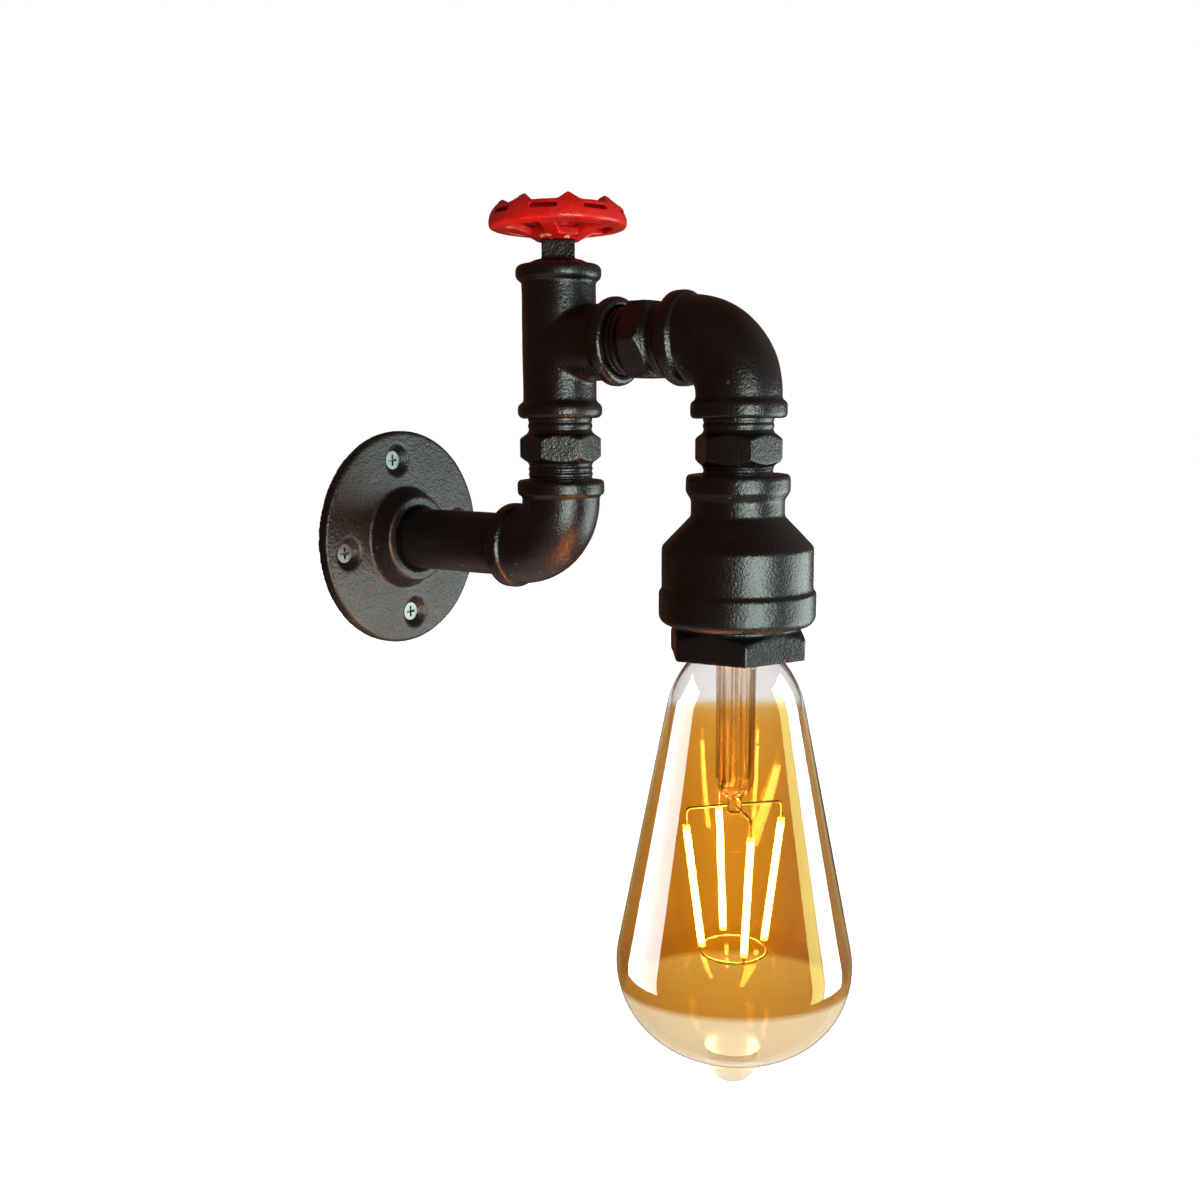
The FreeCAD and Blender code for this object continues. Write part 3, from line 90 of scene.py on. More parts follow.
# %% [markdown]
# Several finishes share an effect: the pebbled skin of sand-cast iron, the slow drift of colour
# in any coat of paint, and lighter outer edges, partly rubbed bare and partly a painted highlight.
# Each effect could be built again in every material, but a shader node group holds it once, with
# named inputs, and each material sets its own values.
# %% Helper for node groups
def start_group(name, inputs, outputs):
    """A node group with number inputs and the outputs named; returns its tree and its two ends."""
    tree = bpy.data.node_groups.new(name, "ShaderNodeTree")
    for label, value in inputs.items():
        socket = tree.interface.new_socket(label, in_out="INPUT", socket_type="NodeSocketFloat")
        socket.default_value = value
    for label, kind in outputs.items():
        tree.interface.new_socket(label, in_out="OUTPUT", socket_type=kind)
    return tree, tree.nodes.new("NodeGroupInput"), tree.nodes.new("NodeGroupOutput")


def feed(tree, value, socket):
    """Set a socket to a number, or link another node's output to it."""
    if isinstance(value, bpy.types.NodeSocket):
        tree.links.new(value, socket)
    else:
        socket.default_value = value


def add_math(tree, operation, *values):
    """A Math node; each value is a number or another node's output."""
    node = tree.nodes.new("ShaderNodeMath")
    node.operation = operation
    for socket, value in zip(node.inputs, values):
        feed(tree, value, socket)
    return node.outputs[0]


def add_noise(tree, coordinates, scale, detail=2.0, roughness=0.5):
    """A Noise Texture; its scale is about the number of patches per metre."""
    node = tree.nodes.new("ShaderNodeTexNoise")
    tree.links.new(coordinates, node.inputs["Vector"])
    feed(tree, scale, node.inputs["Scale"])
    node.inputs["Detail"].default_value = detail
    node.inputs["Roughness"].default_value = roughness
    return node.outputs["Fac"]


def add_range(tree, value, low, high, start=0.0, end=1.0):
    """Turn a value between low and high into one between start and end, and hold it there."""
    node = tree.nodes.new("ShaderNodeMapRange")
    tree.links.new(value, node.inputs["Value"])
    for label, number in (("From Min", low), ("From Max", high), ("To Min", start), ("To Max", end)):
        feed(tree, number, node.inputs[label])
    return node.outputs["Result"]


def object_place(tree):
    """Where a point of the surface lies, in metres in its own object's frame."""
    return tree.nodes.new("ShaderNodeTexCoord").outputs["Object"]


def height_of(tree, place):
    """The upright part of a place."""
    split = tree.nodes.new("ShaderNodeSeparateXYZ")
    tree.links.new(place, split.inputs["Vector"])
    return split.outputs["Z"]


def add_dot(tree, place, direction):
    """How far a place reaches along one fixed direction."""
    node = tree.nodes.new("ShaderNodeVectorMath")
    node.operation = "DOT_PRODUCT"
    tree.links.new(place, node.inputs[0])
    node.inputs[1].default_value = direction
    return node.outputs["Value"]


# %% Cast skin: pebbles and pits, as a height
def cast_skin_group():
    tree, ends, out = start_group(
        "cast_skin",
        {"Pebbles per metre": 900.0, "Pit depth": 0.3},
        {"Height": "NodeSocketFloat"},
    )
    place = object_place(tree)
    scale = ends.outputs["Pebbles per metre"]
    fine = add_noise(tree, place, scale, detail=2.0, roughness=0.55)
    coarse = add_noise(tree, place, add_math(tree, "MULTIPLY", scale, 0.3), detail=2.0)
    cells = tree.nodes.new("ShaderNodeTexVoronoi")
    tree.links.new(place, cells.inputs["Vector"])
    tree.links.new(add_math(tree, "MULTIPLY", scale, 0.55), cells.inputs["Scale"])
    pits = add_range(tree, cells.outputs["Distance"], 0.32, 0.1)
    height = add_math(tree, "MULTIPLY_ADD", coarse, 0.5, fine)
    sunk = add_math(tree, "MULTIPLY", pits, ends.outputs["Pit depth"])
    tree.links.new(add_math(tree, "SUBTRACT", height, sunk), out.inputs["Height"])
    return tree


# %% Tone drift: where a coat is thicker or dustier, as a mask
def tone_drift_group():
    tree, ends, out = start_group(
        "tone_drift",
        {"Patches per metre": 60.0},
        {"Patches": "NodeSocketFloat"},
    )
    patches = ends.outputs["Patches per metre"]
    slow = add_noise(tree, object_place(tree), patches, detail=5.0, roughness=0.62)
    tree.links.new(add_range(tree, slow, 0.38, 0.66), out.inputs["Patches"])
    return tree


# %% Worn and glinting edges: lighter outer edges, partly rubbed and partly a painted highlight, as a mask
def worn_and_glinting_edges_group():
    tree, ends, out = start_group(
        "worn_and_glinting_edges",
        {"Reach": 0.56, "Spots per metre": 400.0},
        {"Worn_and_glint": "NodeSocketFloat"},
    )
    edge = tree.nodes.new("ShaderNodeNewGeometry").outputs["Pointiness"]
    rate = ends.outputs["Spots per metre"]
    spots = add_noise(tree, object_place(tree), rate, detail=4.0, roughness=0.7)
    ragged = add_math(tree, "MULTIPLY_ADD", spots, 0.08, edge)
    reach = ends.outputs["Reach"]
    top = add_math(tree, "ADD", reach, 0.04)
    tree.links.new(add_range(tree, ragged, reach, top), out.inputs["Worn_and_glint"])
    return tree


groups = {
    "cast_skin": cast_skin_group(),
    "tone_drift": tone_drift_group(),
    "worn_and_glinting_edges": worn_and_glinting_edges_group(),
}
print("shared effects:", sorted(groups))


# %% [markdown]
# Each material starts from one Principled shader. What is the same all over a finish is a number
# on the shader's own sockets, and only what changes over the surface comes from other nodes, so
# the material stays easy to read and to export.
# %% Helpers for materials
def start_material(name, colour, roughness, metallic=0.0, **sockets):
    """A material with one Principled shader; constant values stay on the shader's own sockets."""
    material = bpy.data.materials.new(name)
    material.use_nodes = True
    shader = material.node_tree.nodes["Principled BSDF"]
    shader.inputs["Base Color"].default_value = (*colour, 1)
    shader.inputs["Roughness"].default_value = roughness
    shader.inputs["Metallic"].default_value = metallic
    for label, value in sockets.items():
        shader.inputs[label.replace("_", " ")].default_value = value
    return material, material.node_tree, shader


def add_group(tree, name, **values):
    """Place a shared effect in a material, with this material's own values."""
    node = tree.nodes.new("ShaderNodeGroup")
    node.node_tree = groups[name]
    for label, value in values.items():
        node.inputs[label.replace("_", " ")].default_value = value
    return node.outputs


def mix_colours(tree, share, first, second, blend="MIX"):
    """Mix two colours, each a triple or another node's output, by a share from 0 to 1."""
    node = tree.nodes.new("ShaderNodeMix")
    node.data_type = "RGBA"
    node.blend_type = blend
    feed(tree, share, node.inputs["Factor"])
    sockets = [item for item in node.inputs if item.type == "RGBA"]
    for socket, colour in zip(sockets, (first, second)):
        feed(tree, (*colour, 1) if isinstance(colour, tuple) else colour, socket)
    return [item for item in node.outputs if item.type == "RGBA"][0]


def add_facing(tree, blend=0.5):
    """0 where the surface looks at the eye, rising to 1 where it turns away."""
    node = tree.nodes.new("ShaderNodeLayerWeight")
    node.inputs["Blend"].default_value = blend
    return node.outputs["Facing"]


def add_bump(tree, shader, height, distance, strength=1.0):
    """Let a height break up the shading; the distance is the real depth in metres."""
    node = tree.nodes.new("ShaderNodeBump")
    node.inputs["Strength"].default_value = strength
    node.inputs["Distance"].default_value = distance
    tree.links.new(height, node.inputs["Height"])
    tree.links.new(node.outputs["Normal"], shader.inputs["Normal"])


def dress(node, material):
    """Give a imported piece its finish."""
    mesh = frame["nodes"][node].data
    mesh.materials.clear()
    mesh.materials.append(material)


# %% [markdown]
# The fittings are sand-cast iron under a thin black varnish. Up close the skin is pebbled and
# satin rather than glossy. A flat black would look like plastic, so the colour drifts between a
# brown black and a green black, the thicker patches are a little rougher, and a bump node reads
# the pebbles' height, which breaks every sheen up into glints. The flange is the roughest piece
# and the drawn pipe the finest, so both get values of their own.
# %% Black cast iron
BROWN_BLACK = (0.004, 0.0018, 0.0014)
GREEN_BLACK = (0.0035, 0.004, 0.0037)
# Lighter outer edges: partly rubbed iron, partly a painted highlight along the ridges.
RUBBED_AND_GLINTING_IRON = (0.070, 0.060, 0.050)


def cast_iron(name, pebbles=1250.0, grain=0.00015, roughness=0.29):
    """Varnished iron; pebbles are per metre, and grain is how deep they are, in metres."""
    material, tree, shader = start_material(name, BROWN_BLACK, roughness)
    skin = add_group(tree, "cast_skin", Pebbles_per_metre=pebbles, Pit_depth=0.15)
    drift = add_group(tree, "tone_drift", Patches_per_metre=45.0)
    worn_and_glint = add_group(tree, "worn_and_glinting_edges", Reach=0.60)
    varnish = mix_colours(tree, drift["Patches"], BROWN_BLACK, GREEN_BLACK)
    # Half of the edge mask lightens the varnish: rubbed spots and a painted highlight on the edges.
    rubbed_and_glint = add_math(tree, "MULTIPLY", worn_and_glint["Worn_and_glint"], 0.5)
    colour = mix_colours(tree, rubbed_and_glint, varnish, RUBBED_AND_GLINTING_IRON)
    tree.links.new(colour, shader.inputs["Base Color"])
    rough = add_math(tree, "MULTIPLY_ADD", drift["Patches"], 0.10, roughness - 0.05)
    tree.links.new(rough, shader.inputs["Roughness"])
    add_bump(tree, shader, skin["Height"], grain)
    return material


iron = cast_iron("black_cast_iron")
flange_iron = cast_iron("rough_flange_iron", pebbles=1100.0, grain=0.00026, roughness=0.40)
pipe_iron = cast_iron("black_pipe", pebbles=1500.0, grain=0.00008, roughness=0.42)
IRON_FINISHES = {
    "wall_flange": flange_iron,
    "wall_pipe": pipe_iron,
    "lower_elbow": iron,
    "tee": iron,
    "upper_elbow": iron,
    "reducing_socket": iron,
    "hex_bushing": iron,
}
NIPPLE_NODES = ["lower_nipple", "branch_nipple", "drop_nipple", "top_plug"]
print("iron finishes:", iron.name, flange_iron.name, pipe_iron.name)


# %% [markdown]
# A sand casting has no sharp edges: metal rounds off at every corner and fills every inner one.
# Bevels on each edge would be slow to choose, so a copy of the machined shape is rebuilt from
# small voxels and then smoothed, which rounds outer and inner edges alike. A displacement with a
# cloud texture adds the slight unevenness of the mould. The pipe and the nipples are no castings,
# but they are made in the same way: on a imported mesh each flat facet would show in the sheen. The
# nipples take smaller voxels and fewer rounds, so that their threads stay.
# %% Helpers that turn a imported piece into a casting
def copy_node(node, name):
    """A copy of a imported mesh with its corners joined, so that it can be smoothed."""
    source = frame["nodes"][node].data
    work = bmesh.new()
    work.from_mesh(source)
    bmesh.ops.remove_doubles(work, verts=work.verts, dist=1e-6)
    mesh = bpy.data.meshes.new(name)
    work.to_mesh(mesh)
    work.free()
    piece = bpy.data.objects.new(name, mesh)
    bpy.context.scene.collection.objects.link(piece)
    return piece


def apply_modifiers(piece):
    """Turn what the modifiers show into the piece's own smooth mesh."""
    view = bpy.context.evaluated_depsgraph_get()
    mesh = bpy.data.meshes.new_from_object(piece.evaluated_get(view))
    piece.modifiers.clear()
    piece.data = mesh
    for face in mesh.polygons:
        face.use_smooth = True


def cast_piece(node, material, voxel=0.00045, rounds=6, wobble=0.00025, lump=0.012):
    """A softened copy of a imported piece, which stands for it; sizes are in metres."""
    piece = copy_node(node, node + "_casting")
    remesh = piece.modifiers.new("voxels", "REMESH")
    remesh.mode = "VOXEL"
    remesh.voxel_size = voxel
    smooth = piece.modifiers.new("rounding", "SMOOTH")
    smooth.factor = 0.5
    smooth.iterations = rounds
    clouds = bpy.data.textures.new(node + "_lumps", "CLOUDS")
    clouds.noise_scale = lump
    uneven = piece.modifiers.new("unevenness", "DISPLACE")
    uneven.texture = clouds
    uneven.strength = wobble
    uneven.texture_coords = "LOCAL"
    apply_modifiers(piece)
    piece.data.materials.clear()
    piece.data.materials.append(material)
    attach(piece, body_of[node])
    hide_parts(node)
    print(piece.name, len(piece.data.vertices), "points")
    return piece


# %% Castings
for node, finish in IRON_FINISHES.items():
    cast_piece(node, finish)
for node in NIPPLE_NODES:
    nipple = cast_piece(node, iron, voxel=0.0003, rounds=3, wobble=0.00012, lump=0.006)

# %% [markdown]
# The hand wheel is a casting too, dipped in red enamel. The enamel is glossy and settles in the
# hollows, so its edges are rounder than the iron's. A coat on the shader gives the wet shine, and
# a few pale spots lie near the foot of the hub.
# %% Red enamel
DARK_RED = (0.46, 0.003, 0.002)
LIGHT_RED = (0.62, 0.007, 0.003)
# Pale spots, mixed in by noise near the foot of the hub.
PALE_SPOT_COLOUR = (0.80, 0.55, 0.36)
HUB_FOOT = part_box("hand_wheel")[0][2]
PALE_SPOTS_END = HUB_FOOT + 1.3 * MM
PALE_SPOTS_FULL = HUB_FOOT + 0.5 * MM


def red_enamel():
    """Two reds that drift into each other under a coat, with pale spots at the foot of the hub."""
    material, tree, shader = start_material(
        "red_enamel", LIGHT_RED, 0.36,
        Specular_IOR_Level=0.25, Coat_Weight=0.30, Coat_Roughness=0.08,
    )
    drift = add_group(tree, "tone_drift", Patches_per_metre=120.0)
    skin = add_group(tree, "cast_skin", Pebbles_per_metre=330.0, Pit_depth=0.1)
    reds = mix_colours(tree, drift["Patches"], DARK_RED, LIGHT_RED)
    place = object_place(tree)
    foot = add_range(tree, height_of(tree, place), PALE_SPOTS_END, PALE_SPOTS_FULL)
    spots = add_range(tree, add_noise(tree, place, 260.0, detail=3.0), 0.56, 0.60)
    # The pale spots: noise, kept to the foot of the hub.
    pale_spots = add_math(tree, "MULTIPLY", foot, spots)
    tree.links.new(mix_colours(tree, pale_spots, reds, PALE_SPOT_COLOUR), shader.inputs["Base Color"])
    add_bump(tree, shader, skin["Height"], distance=0.0004, strength=0.6)
    return material


enamel = red_enamel()
wheel_piece = cast_piece("hand_wheel", enamel, voxel=0.0003, rounds=7, wobble=0.0003, lump=0.008)


# %% [markdown]
# Zinc plating, brass, ceramic, rubber and the plastics of the wiring are seen only from close by
# or from inside. Each still gets a small variation, because a perfectly even surface is what
# gives a computer picture away: two colours that drift into each other, and a very fine skin.
# %% Finishes of the small pieces
def small_finish(name, colour, other, roughness, metallic=0.0):
    """A finish that drifts between two colours and from a little smoother to a little rougher."""
    material, tree, shader = start_material(name, colour, roughness, metallic)
    drift = add_group(tree, "tone_drift", Patches_per_metre=260.0)
    skin = add_group(tree, "cast_skin", Pebbles_per_metre=1800.0, Pit_depth=0.2)
    tree.links.new(mix_colours(tree, drift["Patches"], colour, other), shader.inputs["Base Color"])
    rough = add_math(tree, "MULTIPLY_ADD", drift["Patches"], 0.12, roughness - 0.06)
    tree.links.new(rough, shader.inputs["Roughness"])
    add_bump(tree, shader, skin["Height"], distance=0.00004)
    return material


finishes = {
    "zinc": small_finish("bright_zinc", (0.46, 0.49, 0.47), (0.60, 0.62, 0.60), 0.34, 1.0),
    "dull_zinc": small_finish("dull_zinc", (0.13, 0.145, 0.14), (0.21, 0.225, 0.22), 0.34, 1.0),
    "rubber": small_finish("black_rubber", (0.020, 0.020, 0.020), (0.032, 0.031, 0.030), 0.70),
    "sheath": small_finish("flex_sheath", (0.030, 0.030, 0.030), (0.045, 0.044, 0.042), 0.55),
    "ceramic": small_finish("glazed_ceramic", (0.78, 0.75, 0.68), (0.70, 0.66, 0.58), 0.22),
    "brass": small_finish("plated_brass", (0.76, 0.58, 0.27), (0.68, 0.48, 0.20), 0.28, 1.0),
    "brown": small_finish("brown_insulation", (0.16, 0.07, 0.035), (0.20, 0.09, 0.045), 0.5),
    "blue": small_finish("blue_insulation", (0.035, 0.11, 0.34), (0.045, 0.14, 0.40), 0.5),
    "green": small_finish("green_insulation", (0.20, 0.36, 0.05), (0.55, 0.50, 0.05), 0.5),
    "black_glass": small_finish("black_glass", (0.012, 0.012, 0.013), (0.02, 0.02, 0.02), 0.12),
    "solder": small_finish("tinned_tip", (0.62, 0.62, 0.60), (0.72, 0.72, 0.70), 0.38, 1.0),
    "nickel": small_finish("nickel_wire", (0.50, 0.44, 0.36), (0.62, 0.56, 0.48), 0.25, 1.0),
    "board": small_finish("driver_board", (0.03, 0.16, 0.06), (0.04, 0.20, 0.08), 0.35),
    "case": small_finish("capacitor_case", (0.03, 0.03, 0.035), (0.05, 0.05, 0.055), 0.35),
}
WEARS = {
    "dull_zinc": ["flange_screws"],
    "zinc": ["wheel_screw", "wheel_washer", "conduit_tube", "conduit_locknut",
             "clamp_washers", "holder_bridge", "bridge_screws", "terminal_screws", "earth_screw"],
    "rubber": ["entry_bush"],
    "sheath": ["supply_flex", "arm_flex", "head_flex"],
    "ceramic": ["lampholder_body"],
    "brass": ["screw_shell", "centre_contact", "terminal_blocks", "bulb_cap"],
    "brown": ["live_core"],
    "blue": ["neutral_core"],
    "green": ["earth_core"],
    "black_glass": ["cap_insulator"],
    "solder": ["cap_contact"],
    "nickel": ["upper_wires", "lower_frame", "lead_wires"],
    "board": ["driver_board"],
    "case": ["driver_capacitor"],
}
for finish, nodes in WEARS.items():
    for node in nodes:
        dress(node, finishes[finish])
print("small finishes:", len(finishes))

# %% [markdown]
# The bulb is one blown envelope of thin glass with a see-through metal film inside that turns it
# amber, clear near the neck where the film stops. It is turned on a lathe here: one outline of
# straight lines and arcs, drawn once for the outer face and once for the inner face, so that the
# glass has its real wall and light bends in it as it should.
# %% Lathe
LAMP_AXIS = Vector((0, -140.5, 0)) * MM
CAP_END = -25.85  # height of the open end of the bulb's cap, in millimetres


def arc_points(centre, radius, start, end, count):
    """Points on an arc in (radius, height), angles in degrees from the outward direction."""
    angles = [math.radians(start + (end - start) * i / count) for i in range(count + 1)]
    return [(centre[0] + radius * math.cos(a), centre[1] + radius * math.sin(a)) for a in angles]


def lathe(name, outline, turns=160, uneven=None):
    """Turn a closed outline of (radius, height) points, in millimetres, about the lamp's axis.

    The function uneven gives what to add to the radius at a radius, a height and an angle.
    """
    work = bmesh.new()
    rings = []
    for radius, height in outline:
        if radius < 1e-6:
            rings.append([work.verts.new((0, 0, height * MM))])
            continue
        ring = []
        for step in range(turns):
            angle = math.tau * step / turns
            reach = radius + uneven(radius, height, angle) if uneven else radius
            ring.append(work.verts.new(
                (reach * MM * math.cos(angle), reach * MM * math.sin(angle), height * MM)
            ))
        rings.append(ring)
    for first, second in zip(rings, rings[1:] + rings[:1]):
        for step in range(turns):
            after = (step + 1) % turns
            corners = [first[step % len(first)], first[after % len(first)],
                       second[after % len(second)], second[step % len(second)]]
            unique = list(dict.fromkeys(corners))
            if len(unique) > 2:
                work.faces.new(unique)
    bmesh.ops.recalc_face_normals(work, faces=work.faces)
    mesh = bpy.data.meshes.new(name)
    work.to_mesh(mesh)
    work.free()
    for face in mesh.polygons:
        face.use_smooth = True
    mesh.transform(Matrix.Translation(LAMP_AXIS))
    piece = bpy.data.objects.new(name, mesh)
    bpy.context.scene.collection.objects.link(piece)
    return piece


# %% Outline of the envelope
WALL = 0.8  # thickness of the glass, in millimetres as all sizes here
NECK = 12.5  # outer radius of the neck
SHOULDER, BELLY, DOME = 30.0, 27.2, 50.29  # radii of the three arcs
SHOULDER_CENTRE = (-8.575, CAP_END - 24.0)
BELLY_CENTRE = (9.4, CAP_END - 100.08)
DOME_CENTRE = (0.0, CAP_END - 78.99)
LEAN = 11.24  # the cone's angle from the axis, in degrees
DOME_TURN = math.degrees(math.asin(BELLY_CENTRE[0] / (DOME - BELLY))) - 90  # where the dome begins
TIP_START = 11.0  # radius at which the dome runs into the sealed tip
TIP_OUTSIDE = [(10.0, -154.3), (9.2, -154.9), (8.7, -155.8), (8.4, -157.1), (8.1, -158.9),
               (7.6, -160.8), (6.7, -162.6), (5.3, -164.2), (3.4, -165.4), (1.7, -165.95), (0, -166.1)]
TIP_INSIDE = [(9.8, -153.7), (8.8, -154.5), (8.2, -155.6), (7.8, -157.0), (7.4, -158.7),
              (6.9, -160.3), (5.9, -162.0), (4.5, -163.4), (2.8, -164.4), (1.4, -164.8), (0, -164.9)]


def envelope_outline(inset):
    """Neck, shoulder, cone, belly and dome, drawn in by the glass wall where inset says so."""
    neck, shoulder, dome = NECK - inset, SHOULDER - inset, DOME - inset
    top = math.degrees(math.acos((neck - SHOULDER_CENTRE[0]) / shoulder))
    end = -90 + math.degrees(math.asin(TIP_START / dome))
    points = [(neck, CAP_END + 2.15), (neck, CAP_END - 1.0)]
    points += arc_points(SHOULDER_CENTRE, shoulder, top, LEAN, 20)
    points += arc_points(BELLY_CENTRE, BELLY - inset, LEAN, DOME_TURN, 40)
    return points + arc_points(DOME_CENTRE, dome, DOME_TURN, end, 10)[1:]


outer = envelope_outline(0) + TIP_OUTSIDE
inner = envelope_outline(WALL) + TIP_INSIDE
print("envelope outline:", len(outer), "points outside,", len(inner), "inside")


# %% [markdown]
# The film's colour could be mixed into the glass itself, but it is a coat of changing thickness:
# deep amber around the filaments, paler up the cone, gone at the neck, and almost gone on the
# dome. So a ramp of colours follows the height, across a plane that leans a little, as the real
# film's edge does. Light on its way through both walls crosses four faces and is tinted by the
# square root of the colour at each, so a colour written here is the square root of the one seen.
# %% Heights and ramps for the film
GLASS_IOR = 1.45
FILM_FOOT, FILM_HEAD = -0.166, -0.026  # heights of the ramp's ends, in metres
FILM_LEAN, DOME_LEAN = 0.20, 0.17  # slopes of the film's upper and lower edge
FILM_STOPS = [
    (0.00, (0.57, 0.27, 0.035)),
    (0.27, (0.58, 0.29, 0.045)),
    (0.37, (0.68, 0.40, 0.08)),
    (0.60, (0.69, 0.42, 0.095)),
    (0.83, (0.75, 0.51, 0.17)),
    (0.866, (0.77, 0.57, 0.28)),
    (0.884, (0.80, 0.795, 0.80)),
    (1.00, (0.82, 0.82, 0.825)),
]
FILM_ENDS, NECK_CLEAR = FILM_STOPS[-3][0], FILM_STOPS[-2][0]
BARE_DOME = (0.85, 0.735, 0.54)
SLANT_STOPS = [
    (0.02, (1.0, 1.0, 1.0)),
    (0.25, (0.93, 0.90, 0.85)),
    (0.50, (0.84, 0.84, 1.0)),
    (0.80, (0.72, 0.74, 1.0)),
]


def film_height(tree, lean):
    """Height up the bulb in metres, measured across a plane that leans back by a slope."""
    away = Vector((-view_back.x, -view_back.y, 0)).normalized() * lean
    height = add_dot(tree, object_place(tree), (away.x, away.y, 1.0))
    return add_math(tree, "SUBTRACT", height, away.dot(LAMP_AXIS))


def colour_ramp(tree, share, stops):
    """A Color Ramp with (position, colour) stops."""
    ramp = tree.nodes.new("ShaderNodeValToRGB")
    tree.links.new(share, ramp.inputs["Fac"])
    points = ramp.color_ramp.elements
    while len(points) < len(stops):
        points.new(0.5)
    for point, (spot, colour) in zip(points, stops):
        point.position = spot
        point.color = (*colour, 1)
    return ramp.outputs["Color"]


print("film:", len(FILM_STOPS), "colours by height,", len(SLANT_STOPS), "by slant")

# %% [markdown]
# Towards the outline of the bulb the light crosses the film at a slant, and the film darkens and
# turns cooler. A ramp over Layer Weight could show that, but light bends at the glass, so the
# inner faces would get other bands than the outer ones. The angle is therefore worked back to
# what it is outside the glass, with the sine multiplied by the index of refraction for a ray that
# is already within. The tip is frosted where it was melted shut, and a weak glow on the side that
# faces the eye stands for the filaments' light in the film.
# %% Amber glass
DOME_EDGE = (-0.1324, -0.1344)  # the film ends between these heights, in metres
TIP_FROST = (-0.1535, -0.1560)  # the frost begins between these
FROST_ROUGHNESS = 0.28
GLOW_FOOT = (-0.140, -0.112)  # the glow rises between these, and fades between the next two
GLOW_HEAD = (-0.058, -0.082)
GLOW_STRENGTH = 0.10


def slant_outside(tree, within):
    """0 where a face looks at the eye and 1 at the outline, by the ray's angle outside the glass."""
    cosine = add_math(tree, "SUBTRACT", 1.0, add_facing(tree))
    sine_squared = add_math(tree, "SUBTRACT", 1.0, add_math(tree, "MULTIPLY", cosine, cosine))
    bent = add_range(tree, within, 0.0, 1.0, 1.0, GLASS_IOR ** 2)
    sine_squared = add_math(tree, "MULTIPLY", sine_squared, bent)
    cosine = add_math(tree, "SQRT", add_math(tree, "SUBTRACT", 1.0, sine_squared))
    return add_math(tree, "SUBTRACT", 1.0, cosine)


def amber_glass():
    """See-through glass with the metal film, its bands, the frosted tip and the weak glow."""
    material, tree, shader = start_material(
        "amber_glass", FILM_STOPS[0][1], 0.0,
        Transmission_Weight=1.0, IOR=GLASS_IOR, Emission_Color=(1.0, 0.42, 0.01, 1),
    )
    level = film_height(tree, FILM_LEAN)
    height = add_range(tree, level, FILM_FOOT, FILM_HEAD)
    bare = add_range(tree, film_height(tree, DOME_LEAN), *DOME_EDGE)
    film = mix_colours(tree, bare, colour_ramp(tree, height, FILM_STOPS), BARE_DOME)
    within = tree.nodes.new("ShaderNodeNewGeometry").outputs["Backfacing"]
    slant = slant_outside(tree, within)
    banded = mix_colours(tree, 1.0, film, colour_ramp(tree, slant, SLANT_STOPS), "MULTIPLY")
    below_neck = add_range(tree, height, NECK_CLEAR, FILM_ENDS)
    filmed = add_math(tree, "MULTIPLY", below_neck, add_math(tree, "SUBTRACT", 1.0, bare))
    tree.links.new(mix_colours(tree, filmed, film, banded), shader.inputs["Base Color"])
    frost = add_range(tree, film_height(tree, 0.0), *TIP_FROST, 0.0, FROST_ROUGHNESS)
    tree.links.new(frost, shader.inputs["Roughness"])
    middle = add_range(tree, slant, 0.16, 0.0)
    middle = add_math(tree, "MULTIPLY", middle, add_math(tree, "SUBTRACT", 1.0, within))
    above = add_range(tree, level, *GLOW_FOOT)
    below = add_range(tree, level, *GLOW_HEAD)
    lit = add_math(tree, "MULTIPLY", add_math(tree, "MULTIPLY", above, below), middle)
    strength = add_math(tree, "MULTIPLY", lit, GLOW_STRENGTH)
    tree.links.new(strength, shader.inputs["Emission Strength"])
    return material


envelope = lathe("bulb_envelope", outer + inner[::-1])
envelope.data.materials.append(amber_glass())
envelope.visible_shadow = False  # or the glass would throw a solid dark shadow
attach(envelope, "bulb")
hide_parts("bulb_glass")
print(envelope.name, [round(v * 1000, 1) for v in envelope.dimensions])

# %% [markdown]
# Inside, a glass stem carries the wires. It is the same lathe again, with the flare where it is
# sealed to the neck, flutes along the tube and the pinched end that grips the wires. Each flute
# of the real stem bends the light into a narrow dark line. Bent light alone would need a very
# fine mesh for that, so the glass also has a darker colour wherever it turns away from the eye.
# %% Stem
STEM_OUTSIDE = [(11.3, -24.0), (9.6, -24.6), (7.6, -26.2), (6.3, -28.6), (5.8, -31.5), (5.8, -66.6),
                (5.75, -67.4), (5.7, -68.2), (5.5, -69.0), (5.2, -69.8), (4.8, -70.6), (4.2, -71.4),
                (3.4, -72.1), (2.2, -72.6), (0, -72.85)]
STEM_INSIDE = [(10.6, -24.3), (9.2, -25.1), (7.0, -26.9), (5.6, -29.0), (5.1, -31.5), (5.1, -66.4),
               (4.9, -67.6), (4.5, -68.8), (3.9, -70.0), (3.0, -70.9), (1.6, -71.5), (0, -71.7)]
TUBE_WIDEST = 6.2  # the flare beyond this radius, and above its foot, stays round
FLARE_FOOT = -30
PRESS_TOP = -66.5
FLUTES, FLUTE_DEPTH = 10, 0.38
CRUMPLE = 0.22


def stem_shape(radius, height, angle):
    """Flutes along the tube, and the crumpled end where the hot glass was pressed shut."""
    if radius > TUBE_WIDEST or height > FLARE_FOOT:
        return 0.0
    if height > PRESS_TOP:
        return FLUTE_DEPTH * math.cos(FLUTES * angle)
    return CRUMPLE * math.sin(9 * angle + 2.9 * height) * math.cos(5 * angle - 3.7 * height)


# %% Glass of the stem
PALE_GLASS = (0.97, 0.88, 0.78)
BROWN_LINES = (0.34, 0.21, 0.13)


